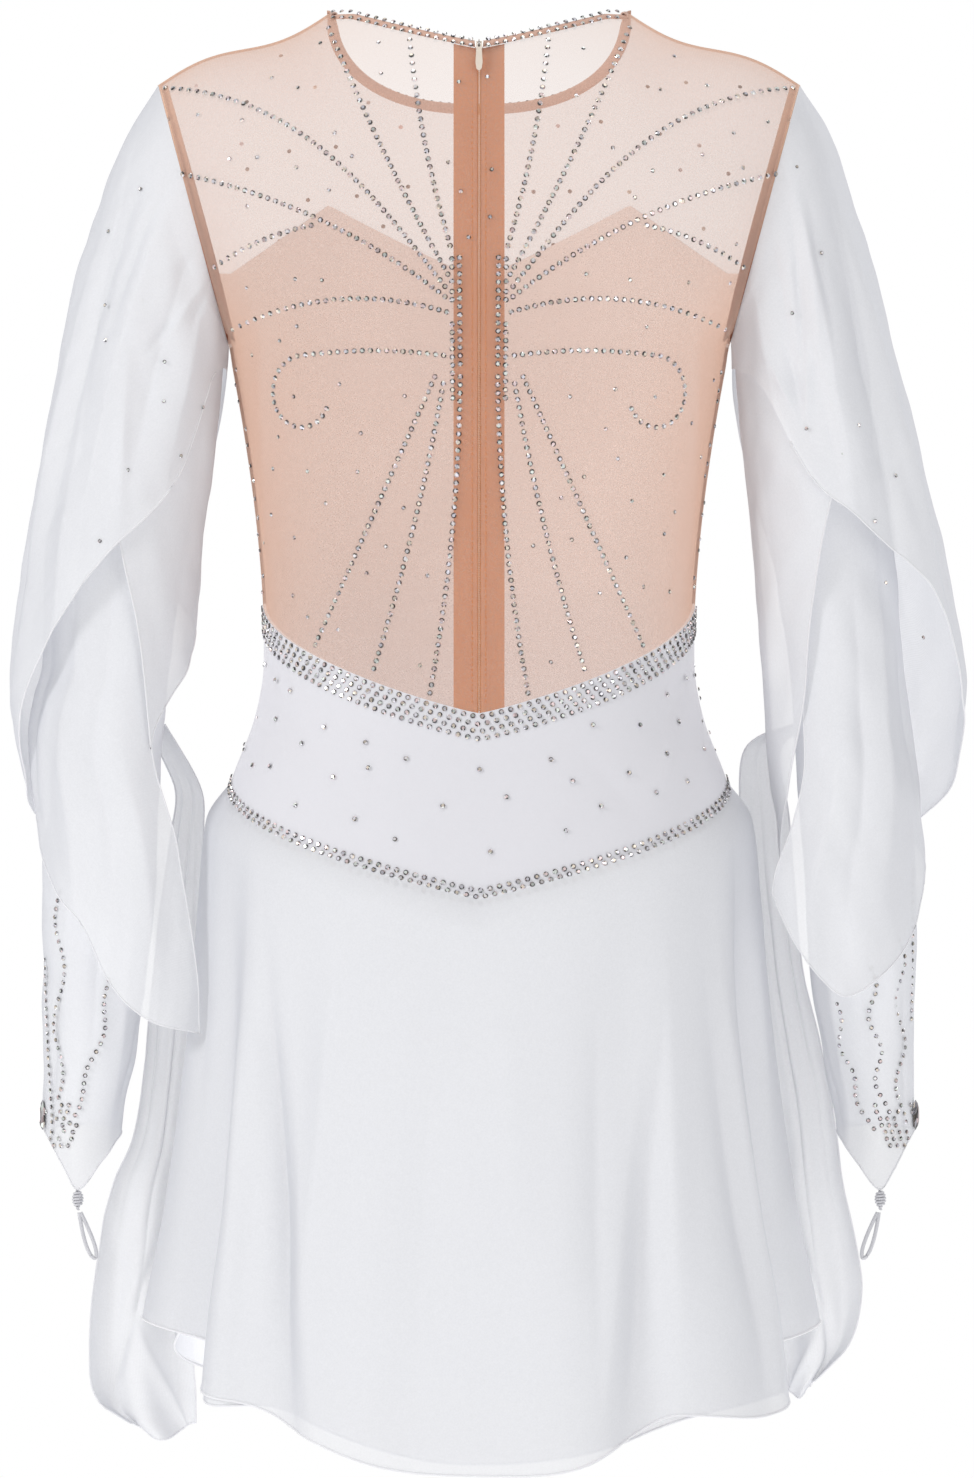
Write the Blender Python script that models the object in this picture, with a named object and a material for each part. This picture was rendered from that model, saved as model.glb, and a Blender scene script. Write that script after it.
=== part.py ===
"""A figure skating dress, filled out as worn and empty inside.

The zipped back faces -Y, the wearer's front faces +Y, and +Z is up. The origin lies between the two
shoulder seams. Sizes in the tables are millimetres; meshes are built in metres.
"""

from collections import namedtuple

import bpy
import bmesh
import numpy as np
from mathutils import Matrix

MM = 0.001
SEAM = 0.3  # gap between two pieces at a seam
WALL = 1.2  # bodice and basque cloth
CHIFFON = 1.0  # skirt and sleeve cloth
UNDER = 0.5  # gap between two layers that lie on each other
ROUND_POWER = 2.3  # 2 is an ellipse, more is boxier

NECK_HALF = 88.0
NECK_TOP = 21.0
TIP_HALF = 190.0
TIP_TOP = -22.0
UNDERARM_HALF = 149.0
UNDERARM_TOP = -174.0
ARMHOLE_DEPTH = 50.0
CREST = 45.0  # height that the shoulder line would reach over the middle
SHOULDER_CURVE = 4.0  # dip of the shoulder seam by the neck, and its rise by the sleeve
SHOULDER_ROUND = 90.0  # drop over which the shoulders round off
BACK_NECK = 3.0
FRONT_NECK = -31.0
NECK_EDGE = 4.0  # height of the binding over the cut neck edge
BINDING_THICK = 2.0
ALLOWANCE_WIDTH = 4.4
ALLOWANCE_THICK = 1.0
ALLOWANCE_MIDDLE = 3.0

WAIST_MIDDLE = -394.0
WAIST_RISE = 65.0
HIP_MIDDLE = -502.0
HIP_RISE = 67.0
LINING_PEAK = -91.0
LINING_MIDDLE = -134.0
LINING_SIDE = -133.0
LINING_PEAK_X = 90.0
LINING_START = 0.65  # share of the front's first column that the lining leaves free
LINING_THICK = 1.0

ZIP_SLOT = 1.7  # half the opening between the back panels
TAPE_EDGE = 15.0
TAPE_INNER = 0.4
TAPE_THICK = 0.8
CHAIN_HALF = 1.1
CHAIN_THICK = 1.5
CHAIN_END = 1  # rows of the panel that the chain stops short of the neck

PULL_LENGTH = 20.0
PULL_WIDTH = 4.2
PULL_THICK = 0.9
PULL_REST = 3.2  # height of its tip over the cloth
PIN_RADIUS = 0.45
ARCH_INNER = 1.0
ARCH_OUTER = 1.7
ARCH_HALF = 0.5
HINGE_Z = -1.5
HINGE_HEIGHT = 4.9  # of the pull's axis over the cloth
ARCH_FOOT = 2.2  # how far the arch's feet reach into the slider
ARCH_OVERRUN = 0.08  # radians that the arch goes past a half circle at each end
SLIDER_BACK = -4.0  # outward distances of the slider's faces from the pull's axis
SLIDER_FRONT = -1.5
SliderCorner = namedtuple("SliderCorner", "half_width down")
SLIDER_OUTLINE = (
    SliderCorner(1.6, -4.0),
    SliderCorner(2.6, -2.0),
    SliderCorner(2.2, 2.5),
    SliderCorner(1.2, 5.0),
)
PullCorner = namedtuple("PullCorner", "half_width down")
PULL_OUTLINE = (
    PullCorner(1.5, -PIN_RADIUS),
    PullCorner(1.7, 1.0),
    PullCorner(1.6, 4.0),
    PullCorner(PULL_WIDTH / 2, 14.4),
    PullCorner(1.6, 18.6),
    PullCorner(0.6, PULL_LENGTH),
)
PULL_HOLE = (
    PullCorner(0.95, PIN_RADIUS),
    PullCorner(0.95, 1.0),
    PullCorner(0.9, 2.6),
    PullCorner(0.75, 3.2),
    PullCorner(0.5, 3.6),
    PullCorner(0.2, 3.8),
)

BodySize = namedtuple("BodySize", "z half_width back front")
BODY = (
    BodySize(40, 250, 55, 48),
    BodySize(21, 243, 63, 55),
    BodySize(0, 233, 75, 66),
    BodySize(-22, 225, 84, 75),
    BodySize(-60, 205, 95, 88),
    BodySize(-100, 186, 102, 99),
    BodySize(-140, 167, 105, 109),
    BodySize(-174, 149, 104, 113),
    BodySize(-190, 146, 102, 113),
    BodySize(-230, 139, 96, 104),
    BodySize(-281, 132, 88, 91),
    BodySize(-330, 128, 83, 83),
    BodySize(-364, 127.5, 85, 83),
    BodySize(-397, 133, 91, 86),
    BodySize(-435, 147, 100, 91),
    BodySize(-470, 154, 108, 94),
    BodySize(-502, 160, 113, 97),
)

SkirtSize = namedtuple("SkirtSize", "z half_width back front")
SKIRT = (
    SkirtSize(-435, 154, 106, 96),
    SkirtSize(-454, 161, 111, 101),
    SkirtSize(-502, 166, 121, 107),
    SkirtSize(-560, 170, 130, 114),
    SkirtSize(-620, 176, 140, 122),
    SkirtSize(-690, 185, 150, 131),
    SkirtSize(-750, 196, 159, 139),
    SkirtSize(-845, 206, 170, 150),
)
SKIRT_BLEND = 22.0  # drop over which the skirt leaves the basque's line
FOLD_LENGTH = 330.0  # drop over which the folds reach their full depth
UNDER_SKIRT_ROWS = [0, 1, 2, 4, 6, 8]  # rows of the outer skirt that it shares
UNDER_SKIRT_START = 0.12  # share of the first row that the under skirt hangs lower

# Angles run round from the middle of the back, positive to +X; out is the height of a ridge.
Fold = namedtuple("Fold", "angle out width")
FOLDS = (
    Fold(-78, 6, 9),
    Fold(-60, -25, 7),
    Fold(-48, 9, 6),
    Fold(-35, -9, 6),
    Fold(-18, 4, 9),
    Fold(12, 4, 9),
    Fold(27, -8, 6),
    Fold(45, 5, 9),
    Fold(59, 8, 6),
    Fold(70, -24, 7),
    Fold(86, 6, 8),
    Fold(108, -13, 8),
    Fold(124, 7, 8),
    Fold(141, -10, 7),
    Fold(158, 6, 9),
    Fold(178, -9, 8),
    Fold(-160, 6, 9),
    Fold(-142, -10, 7),
    Fold(-124, 7, 8),
    Fold(-106, -13, 8),
)

Hem = namedtuple("Hem", "angle z")
SKIRT_HEM = (
    Hem(-180, -800),
    Hem(-135, -788),
    Hem(-90, -750),
    Hem(-68, -758),
    Hem(-58, -771),
    Hem(-51, -790),
    Hem(-39, -801),
    Hem(-26, -820),
    Hem(-12, -837),
    Hem(5, -841),
    Hem(14, -836),
    Hem(25, -816),
    Hem(33, -806),
    Hem(48, -808),
    Hem(60, -799),
    Hem(68, -775),
    Hem(77, -762),
    Hem(90, -753),
    Hem(135, -788),
    Hem(180, -800),
)
UNDER_SKIRT_HEM = (
    Hem(-180, -792),
    Hem(-90, -744),
    Hem(-62, -764),
    Hem(-50, -797),
    Hem(-36, -801),
    Hem(0, -834),
    Hem(22, -822),
    Hem(34, -808),
    Hem(60, -791),
    Hem(90, -746),
    Hem(180, -792),
)

# A ring of a sleeve runs from its outer point to its inner point, which may lie lower.
Ring = namedtuple("Ring", "z_out x_out z_in x_in y_mid half_depth")
SLEEVE_LEFT = (
    Ring(TIP_TOP, TIP_HALF, UNDERARM_TOP, UNDERARM_HALF, 0, ARMHOLE_DEPTH),
    Ring(-60, 213.5, -187, 149.5, 0, 52),
    Ring(-98, 226.5, -203, 150.5, 0, 53),
    Ring(-143, 240, -225, 152, 0, 54),
    Ring(-187, 250, -254, 155, 0, 55),
    Ring(-237, 259, -287, 159, 0, 56),
    Ring(-281, 267, -317, 162, 0, 57),
    Ring(-329, 274, -349, 164, 0, 58),
    Ring(-379, 280, -385, 166.5, 0, 58),
    Ring(-411, 275.5, -414, 168, 0, 57),
    Ring(-438, 268.5, -438, 170, 0, 56),
    Ring(-475, 263, -475, 174, 0, 55),
)
SLEEVE_RIGHT = (
    Ring(TIP_TOP, TIP_HALF, UNDERARM_TOP, UNDERARM_HALF, 0, ARMHOLE_DEPTH),
    Ring(-51, 208.5, -185, 149.5, 0, 52),
    Ring(-97, 223.5, -205, 150.5, 0, 53),
    Ring(-140, 236.5, -225, 152, 0, 54),
    Ring(-184, 247, -250, 154, 0, 55),
    Ring(-224, 258.5, -270, 156, 0, 56),
    Ring(-274, 270, -302, 158.5, 0, 57),
    Ring(-321, 280, -337, 161, 0, 58),
    Ring(-378, 289.5, -379, 164, 0, 58),
    Ring(-409, 287, -411, 166, 0, 57),
    Ring(-438, 282, -438, 169, 0, 56),
    Ring(-461, 269, -461, 172, 0, 55),
    Ring(-495, 259, -495, 175, 0, 54),
)
FITTED = (
    Ring(-24, 189.5, -172, 149.5, 0, 48),
    Ring(-60, 203, -186, 156, 0, 46),
    Ring(-98, 213, -204, 160, 0, 44),
    Ring(-143, 222, -230, 165, 2, 42),
    Ring(-190, 230, -262, 169, 3, 41),
    Ring(-240, 235, -297, 174, 4, 40),
    Ring(-290, 236, -332, 179, 5, 38),
    Ring(-335, 240, -366, 183, 6, 36),
    Ring(-385, 247, -405, 187, 8, 34),
    Ring(-438, 254, -450, 190, 10, 32),
    Ring(-490, 259, -497, 192, 12, 31),
    Ring(-540, 259, -543, 196, 14, 30),
    Ring(-597, 258, -597, 204, 17, 27),
    Ring(-632, 258, -632, 211, 19, 24),
    Ring(-680, 257, -680, 214, 20, 22.5),
)
PETAL_LEFT = (
    Ring(-242, 236.8, -299, 172.4, 4, 41.7),
    Ring(-300, 258, -330, 169, 1, 46),
    Ring(-358, 257, -372, 173, 0, 48),
    Ring(-384, 263, -392, 174, 0, 49),
    Ring(-408, 267, -412, 174, 0, 49.5),
    Ring(-432, 265.5, -432, 170, -1, 51),
    Ring(-465, 261.5, -465, 158, -2, 55),
    Ring(-491, 260.5, -491, 152, -3, 57),
    Ring(-520, 259, -520, 146, -4, 58),
    Ring(-562, 256, -562, 141, -5, 58),
    Ring(-600, 254, -600, 141, -6, 57),
)
PETAL_RIGHT = (
    Ring(-242, 236.8, -299, 172.4, 4, 41.7),
    Ring(-300, 246, -340, 171.5, 1, 45.5),
    Ring(-340, 249, -366, 174, 0, 46.2),
    Ring(-385, 253, -400, 176, 0, 47.5),
    Ring(-422, 259, -428, 174, 0, 49.5),
    Ring(-460, 263, -460, 164, -1, 53),
    Ring(-491, 263.5, -491, 150, -3, 57),
    Ring(-530, 262, -530, 146, -4, 58),
    Ring(-575, 256, -575, 144, -6, 57),
)

# Angles run round a sleeve from its outer side (0) by the back (90) to its inner side (180).
OVER_HEM_LEFT = (
    Hem(-180, -190),
    Hem(-150, -262),
    Hem(-120, -335),
    Hem(-90, -400),
    Hem(-60, -440),
    Hem(-30, -456),
    Hem(0, -438),
    Hem(24, -408),
    Hem(52, -354),
    Hem(72, -318),
    Hem(89, -295),
    Hem(103, -281),
    Hem(118, -264),
    Hem(129, -244),
    Hem(137, -218),
    Hem(145, -198),
    Hem(158, -191),
    Hem(180, -190),
)
OVER_HEM_RIGHT = (
    Hem(-180, -190),
    Hem(-140, -290),
    Hem(-110, -400),
    Hem(-80, -468),
    Hem(-55, -472),
    Hem(-35, -455),
    Hem(-15, -430),
    Hem(0, -405),
    Hem(19, -372),
    Hem(30, -332),
    Hem(52, -304),
    Hem(67, -291),
    Hem(82, -275),
    Hem(101, -257),
    Hem(126, -204),
    Hem(150, -192),
    Hem(180, -190),
)

# The flap's free edge: the angle it reaches at each share of the way down.
FlapEdge = namedtuple("FlapEdge", "down angle")
FLAP_EDGE_LEFT = (
    FlapEdge(0, 84),
    FlapEdge(0.3, 97),
    FlapEdge(0.55, 109),
    FlapEdge(0.8, 119),
    FlapEdge(1, 124),
)
FLAP_EDGE_RIGHT = (
    FlapEdge(0, 84),
    FlapEdge(0.2, 100),
    FlapEdge(0.45, 115),
    FlapEdge(0.75, 134),
    FlapEdge(1, 168),
)
FLAP_END_LEFT = 225.0
FLAP_END_RIGHT = 200.0
FLAP_RISE = 90.0  # how much higher the flap hangs at its hidden end
FLAP_TUCK = 26.0  # how far the flap runs up under the outer sleeve
FLAP_TOP = -185.0
FLAP_GAP = 2.9  # leaves room for the flat facets of the sleeve over it
FLAP_BOTTOM_LEFT = -415.0
FLAP_BOTTOM_RIGHT = -488.0
PETAL_START = -50.0
PETAL_END = 125.0
PETAL_HEM_LEFT = (
    Hem(-50, -440),
    Hem(0, -461),
    Hem(40, -504),
    Hem(56, -520),
    Hem(68, -549),
    Hem(90, -573),
    Hem(125, -583),
)
PETAL_HEM_RIGHT = (
    Hem(-50, -462),
    Hem(0, -486),
    Hem(28, -526),
    Hem(50, -547),
    Hem(75, -561),
    Hem(90, -551),
    Hem(110, -526),
    Hem(125, -500),
)
CUFF_POINT = 84.0
CUFF_HEM = (
    Hem(-180, -642),
    Hem(-150, -640),
    Hem(-90, -638),
    Hem(-30, -640),
    Hem(10, -642),
    Hem(38, -651),
    Hem(62, -665),
    Hem(84, -676),
    Hem(120, -660),
    Hem(150, -648),
    Hem(180, -642),
)

# A hanging wing: its outer and inner edges at each level, and how far forward each lies.
WingRow = namedtuple("WingRow", "z x_out y_out x_in y_in")
WING_LEFT = (
    WingRow(-437, 181, 47, 166, 34),
    WingRow(-465, 183, 48, 164, 42),
    WingRow(-502, 188, 53, 164, 52),
    WingRow(-562, 195, 60, 165, 62),
    WingRow(-598, 198, 66, 167, 70),
    WingRow(-646, 206, 72, 169, 80),
    WingRow(-677, 218, 76, 171, 86),
    WingRow(-713, 225, 80, 172, 92),
    WingRow(-749, 231, 84, 173, 98),
    WingRow(-790, 232, 88, 170, 104),
    WingRow(-809, 226, 89, 169, 104),
    WingRow(-822, 208, 90, 169, 104),
)
WING_RIGHT = (
    WingRow(-415, 179, 46, 158, 36),
    WingRow(-455, 184, 49, 155, 52),
    WingRow(-502, 188, 54, 157, 60),
    WingRow(-543, 192, 60, 161, 66),
    WingRow(-594, 202, 66, 166, 73),
    WingRow(-627, 210, 70, 169, 79),
    WingRow(-675, 216, 75, 172, 87),
    WingRow(-703, 222, 78, 173, 91),
    WingRow(-742, 228, 82, 175, 97),
    WingRow(-774, 222, 85, 177, 100),
    WingRow(-797, 200, 87, 181, 100),
)
Side = namedtuple(
    "Side",
    "name sign sleeve over_hem flap_edge flap_end flap_bottom petal petal_hem wing",
)
WING_TOP = -400.0
WING_TOP_START = 195.0
WING_TOP_END = 235.0
WING_WAVE = 6.0

CUFF_TIP = -676.0
FITTED_SEAM = 5.0  # the fitted sleeve's ring where its seam lies and the petal is caught
FITTED_SEAM_HALF = 0.004  # half the seam's gap, as a share of a ring
LOOP_TOP = -688.0
LOOP_BOTTOM = -716.0
LOOP_WIDTH = 7.0
LOOP_CORD = 1.3
LOOP_LEAN = 9.0
KNOT = (3.6, 3.0, 5.2)
GEM_ANGLE = 12.0
GEM_Z = -632.0
GEM = (3.6, 9.0, 2.6)  # half width, half height and thickness

SKIN_MESH = (0.86, 0.70, 0.60)
SKIN_LINING = (0.78, 0.55, 0.43)
COPPER = (0.62, 0.31, 0.19)
WHITE = (0.86, 0.87, 0.90)
SILVER = (0.75, 0.76, 0.78)


def smooth(places, values, at):
    """Read a smooth curve through the points at other places."""
    places = np.asarray(places, float)
    values = np.asarray(values, float)
    order = np.argsort(places)
    places = places[order]
    values = values[order]
    chords = np.diff(values) / np.diff(places)
    slopes = np.concatenate([chords[:1], (chords[:-1] + chords[1:]) / 2, chords[-1:]])
    flat = np.concatenate([[False], chords[:-1] * chords[1:] <= 0, [False]])
    slopes[flat] = 0
    at = np.clip(np.asarray(at, float), places[0], places[-1])
    i = np.clip(np.searchsorted(places, at) - 1, 0, len(places) - 2)
    step = places[i + 1] - places[i]
    u = (at - places[i]) / step
    rise = values[i] + (values[i + 1] - values[i]) * (3 * u**2 - 2 * u**3)
    lead = slopes[i] * step * u * (1 - u) ** 2
    trail = slopes[i + 1] * step * u**2 * (1 - u)
    return rise + lead - trail


def column(table, name):
    """Take one named column of a table as an array."""
    return np.array([getattr(row, name) for row in table], float)


def read(table, key, name, at):
    """Read one column of a table smoothly, by its key column."""
    return smooth(column(table, key), column(table, name), at)


def unit(vectors):
    """Scale vectors to length one."""
    length = np.linalg.norm(vectors, axis=-1, keepdims=True)
    return vectors / np.maximum(length, 1e-9)


def material(name, colour, roughness, metallic=0.0, alpha=1.0):
    """Make a plain Principled material."""
    made = bpy.data.materials.new(name)
    made.use_nodes = True
    shader = made.node_tree.nodes["Principled BSDF"]
    shader.inputs["Base Color"].default_value = (*colour, 1.0)
    shader.inputs["Roughness"].default_value = roughness
    shader.inputs["Metallic"].default_value = metallic
    shader.inputs["Alpha"].default_value = alpha
    made.diffuse_color = (*colour, alpha)
    return made


def add_object(name, vertices, faces, finish):
    """Make one named object from millimetre points, with its faces pointing out."""
    mesh = bpy.data.meshes.new(name)
    mesh.from_pydata((np.asarray(vertices) * MM).tolist(), [], faces)
    shape = bmesh.new()
    shape.from_mesh(mesh)
    bmesh.ops.recalc_face_normals(shape, faces=shape.faces)
    bmesh.ops.triangulate(shape, faces=shape.faces)
    if shape.calc_volume(signed=True) < 0:
        bmesh.ops.reverse_faces(shape, faces=shape.faces)
    shape.to_mesh(mesh)
    shape.free()
    mesh.shade_smooth()
    mesh.set_sharp_from_angle(angle=np.radians(50))
    mesh.materials.append(finish)
    made = bpy.data.objects.new(name, mesh)
    bpy.context.scene.collection.objects.link(made)
    return made


def grid_normals(points, closed, inside):
    """Find the outward normals of a grid; inside is a point that they turn from."""
    down = np.gradient(points, axis=0)
    if closed:
        across = (np.roll(points, -1, axis=1) - np.roll(points, 1, axis=1)) / 2
    else:
        across = np.gradient(points, axis=1)
    normals = unit(np.cross(down, across))
    outward = np.sum(normals * (points - np.asarray(inside, float)), axis=-1).mean()
    return normals if outward > 0 else -normals


def keep_in_plane(normals, plane, share=1.0):
    """Turn normals into a seam's plane, wholly or by a share."""
    plane = unit(np.asarray(plane, float))
    along = np.sum(normals * plane, axis=-1, keepdims=True) * plane
    return unit(normals - along * np.asarray(share)[..., None])


def grid_faces(rows, columns, closed, first):
    """List the quads of a grid whose points start at a given index."""
    faces = []
    for i in range(rows - 1):
        for j in range(columns if closed else columns - 1):
            k = (j + 1) % columns
            a = first + i * columns
            b = a + columns
            faces.append((a + j, a + k, b + k, b + j))
    return faces


def shell(name, outer, inner, closed, finish):
    """Close a wall between a grid of outer points and one of inner points."""
    rows, columns = outer.shape[:2]
    count = rows * columns
    faces = grid_faces(rows, columns, closed, 0)
    faces += [face[::-1] for face in grid_faces(rows, columns, closed, count)]
    last = (rows - 1) * columns
    for j in range(columns if closed else columns - 1):
        k = (j + 1) % columns
        faces.append((k, j, count + j, count + k))
        faces.append((last + j, last + k, count + last + k, count + last + j))
    if not closed:
        for i in range(rows - 1):
            a = i * columns
            b = a + columns
            faces.append((a, b, count + b, count + a))
            c = a + columns - 1
            d = b + columns - 1
            faces.append((d, c, count + c, count + d))
    points = np.concatenate([outer.reshape(-1, 3), inner.reshape(-1, 3)])
    return add_object(name, points, faces, finish)


def ring_sine(share):
    """Give the sideways share of a body ring, 0 at the middle to 1 at the side."""
    return np.sin(np.clip(share, 0, 1) * np.pi / 2) ** (2 / ROUND_POWER)


def ring_cosine(share):
    """Give the depth share of a body ring, 1 at the middle to 0 at the side."""
    return np.maximum(np.cos(np.clip(share, 0, 1) * np.pi / 2), 0) ** (2 / ROUND_POWER)


def ring_share(sideways):
    """Turn a sideways share back into a place round the ring."""
    return np.arcsin(np.clip(sideways, 0, 1) ** (ROUND_POWER / 2)) * 2 / np.pi


def shoulder_line(x):
    """Give the height of the shoulder seam, and of the crest between the neck points."""
    along = np.clip((x - NECK_HALF) / (TIP_HALF - NECK_HALF), 0, 1)
    seam = NECK_TOP + (TIP_TOP - NECK_TOP) * along - SHOULDER_CURVE * np.sin(2 * np.pi * along)
    crest = CREST - (CREST - NECK_TOP) * (np.clip(x, 0, NECK_HALF) / NECK_HALF) ** 1.5
    return np.where(x > NECK_HALF, seam, crest)


def back_neck(x):
    """Give the height of the back neck edge."""
    return BACK_NECK + (NECK_TOP - BACK_NECK) * np.minimum(x / NECK_HALF * 1.16, 1.0) ** 1.15


def front_neck(x):
    """Give the height of the front neck edge."""
    curve = np.sqrt(np.clip(1 - (x / NECK_HALF) ** 2.4, 0, 1))
    return NECK_TOP - (NECK_TOP - FRONT_NECK) * curve


def waist_seam(share):
    """Give the height of the seam over the basque, round the body."""
    return WAIST_MIDDLE + WAIST_RISE * np.clip(share, 0, 1)


def hip_seam(share):
    """Give the height of the seam under the basque, round the body."""
    return HIP_MIDDLE + HIP_RISE * np.clip(share, 0, 1) ** 0.95


def body_depth(x, z, share, side):
    """Give how far the body surface lies behind or before the shoulder seams."""
    depth = read(BODY, "z", side, z)
    drop = np.clip((shoulder_line(x) - z) / SHOULDER_ROUND, 0, 1)
    return depth * ring_cosine(share) * np.sqrt(1 - (1 - drop) ** 2)


def facing(side):
    """Give the sign of y on the back or the front."""
    return -1.0 if side == "back" else 1.0


def armhole(angle):
    """Give x, depth and z round the armhole: 0 at the shoulder tip, pi under the arm."""
    middle = (TIP_HALF + UNDERARM_HALF) / 2
    level = (TIP_TOP + UNDERARM_TOP) / 2
    x = middle + (TIP_HALF - UNDERARM_HALF) / 2 * np.cos(angle)
    z = level + (TIP_TOP - UNDERARM_TOP) / 2 * np.cos(angle)
    return x, ARMHOLE_DEPTH * np.sin(angle), z


PANEL_ROWS = 18
PANEL_COLUMNS = 11
PANEL_RISE = 1.5  # power that crowds a panel's rows towards the neck
ARMHOLE_PLANE = unit(np.array([TIP_TOP - UNDERARM_TOP, 0, UNDERARM_HALF - TIP_HALF], float))
SIDE_SHARE = 0.42  # share of a panel's rows below the underarm
NECK_SHARE = 0.4  # share of a panel's columns on the shoulder seam


def blend_edges(s, t, left, right, bottom, top):
    """Fill a grid between four edge curves, each given along its own parameter."""
    corners = (
        (1 - s) * (1 - t) * bottom[:1]
        + s * (1 - t) * bottom[-1:]
        + (1 - s) * t * top[:1]
        + s * t * top[-1:]
    )
    return (1 - s) * left[:, None] + s * right[:, None] + (1 - t) * bottom + t * top - corners


def half_panel(rows, columns, middle, neck, side):
    """Lay out a bodice panel from its side seam and armhole (s=0) to its middle (s=1)."""
    s = np.linspace(0, 1, columns)[None, :]
    t = np.linspace(0, 1, rows)[:, None]
    below = np.clip(t[:, 0] / SIDE_SHARE, 0, 1)
    turn = np.pi * (1 - np.clip((t[:, 0] - SIDE_SHARE) / (1 - SIDE_SHARE), 0, 1))
    arm_x, arm_y, arm_z = armhole(turn)
    start = waist_seam(1.0) + SEAM / 2
    on_side = t[:, 0] < SIDE_SHARE
    left_z = np.where(on_side, start + (UNDERARM_TOP - start) * below, arm_z)
    left_x = np.where(on_side, read(BODY, "z", "half_width", left_z), arm_x)
    left_w = np.where(on_side, 1.0, ring_share(left_x / read(BODY, "z", "half_width", left_z)))
    top_x = np.where(
        s[0] < NECK_SHARE,
        TIP_HALF + (NECK_HALF - TIP_HALF) * s[0] / NECK_SHARE,
        middle + (NECK_HALF - middle) * np.cos(np.pi / 2 * (s[0] - NECK_SHARE) / (1 - NECK_SHARE)),
    )
    under_neck = neck(top_x) - NECK_EDGE * (top_x < NECK_HALF)
    top_z = np.where(s[0] <= NECK_SHARE, shoulder_line(top_x), under_neck)
    top_w = ring_share(top_x / read(BODY, "z", "half_width", top_z))
    bottom_w = 1 - s[0]
    middle_w = ring_share(middle / read(BODY, "z", "half_width", WAIST_MIDDLE))
    bottom_w[-1] = middle_w
    bottom_z = waist_seam(bottom_w) + SEAM / 2
    right_z = bottom_z[-1] + (top_z[-1] - bottom_z[-1]) * (1 - (1 - t[:, 0]) ** PANEL_RISE)
    right_w = ring_share(middle / read(BODY, "z", "half_width", right_z))
    w = blend_edges(s, t, left_w, right_w, bottom_w, top_w)
    z = blend_edges(s, t, left_z, right_z, bottom_z, top_z)
    x = read(BODY, "z", "half_width", z) * ring_sine(w)
    x[:, -1] = middle
    depth = body_depth(x, z, w, side)
    miss = np.where(on_side, 0.0, arm_y - depth[:, 0])
    depth = depth + miss[:, None] * (1 - s) ** 3
    points = np.stack([x, facing(side) * (depth + SEAM / 2), z], axis=-1)
    points[:, 0] -= np.where(on_side, 0.0, SEAM / 2)[:, None] * ARMHOLE_PLANE
    return points


def panel_normals(points, side):
    """Find a half panel's normals, turned into the seams' planes along its edges."""
    normals = grid_normals(points, False, (0, 0, points[..., 2].mean()))
    rows, columns = points.shape[:2]
    t = np.linspace(0, 1, rows)
    above = t >= SIDE_SHARE
    turn = np.pi * (1 - np.clip((t - SIDE_SHARE) / (1 - SIDE_SHARE), 0, 1))
    share = np.where(above, (1 + np.cos(turn)) / 2, 0.0)
    normals[:, 0] = keep_in_plane(normals[:, 0], (0, 1, 0), np.where(above, 0.0, 1.0))
    normals[:, 0] = keep_in_plane(normals[:, 0], ARMHOLE_PLANE, share)
    shoulder = np.linspace(0, 1, columns) <= NECK_SHARE
    normals[-1, shoulder] = keep_in_plane(normals[-1, shoulder], (0, 1, 0))
    normals[:, -1] = keep_in_plane(normals[:, -1], (1, 0, 0))
    return normals


def mirrored(points, sign):
    """Turn a half made at +X to the side that is asked for."""
    return points * np.array([sign, 1.0, 1.0])


def both_halves(half):
    """Join a half with its mirror image, over the shared middle column."""
    return np.concatenate([half, mirrored(half[:, -2::-1], -1)], axis=1)


def bodice(mesh_cloth, lining_cloth):
    """Make the back panels, the front panel and its lining."""
    back = half_panel(PANEL_ROWS, PANEL_COLUMNS, ZIP_SLOT, back_neck, "back")
    normals = panel_normals(back, "back")
    for name, sign in (("back_panel_left", -1), ("back_panel_right", 1)):
        outer = mirrored(back, sign)
        shell(name, outer, outer - mirrored(normals, sign) * WALL, False, mesh_cloth)
    front = half_panel(PANEL_ROWS, PANEL_COLUMNS, 0.0, front_neck, "front")
    normals = panel_normals(front, "front")
    outer = both_halves(front)
    inner = both_halves(front - normals * WALL)
    shell("front_panel", outer, inner, False, mesh_cloth)
    front_lining(front, lining_cloth)
    return back, front


def lining_top(x):
    """Give the height of the lining's heart-shaped top edge."""
    rise = np.clip(x / LINING_PEAK_X, 0, 1)
    inner = LINING_MIDDLE + (LINING_PEAK - LINING_MIDDLE) * rise**1.1
    fall = np.clip((x - LINING_PEAK_X) / (UNDERARM_HALF - LINING_PEAK_X), 0, 1)
    return inner + (LINING_SIDE - LINING_PEAK) * fall


def on_grid(points, row, place):
    """Read a grid of points between its rows and columns."""
    row = np.clip(row, 0, len(points) - 1.001)
    place = np.clip(place, 0, points.shape[1] - 1.001)
    i = row.astype(int)
    j = place.astype(int)
    u = (row - i)[..., None]
    v = (place - j)[..., None]
    low = points[i, j] * (1 - v) + points[i, j + 1] * v
    high = points[i + 1, j] * (1 - v) + points[i + 1, j + 1] * v
    return low * (1 - u) + high * u


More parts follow.
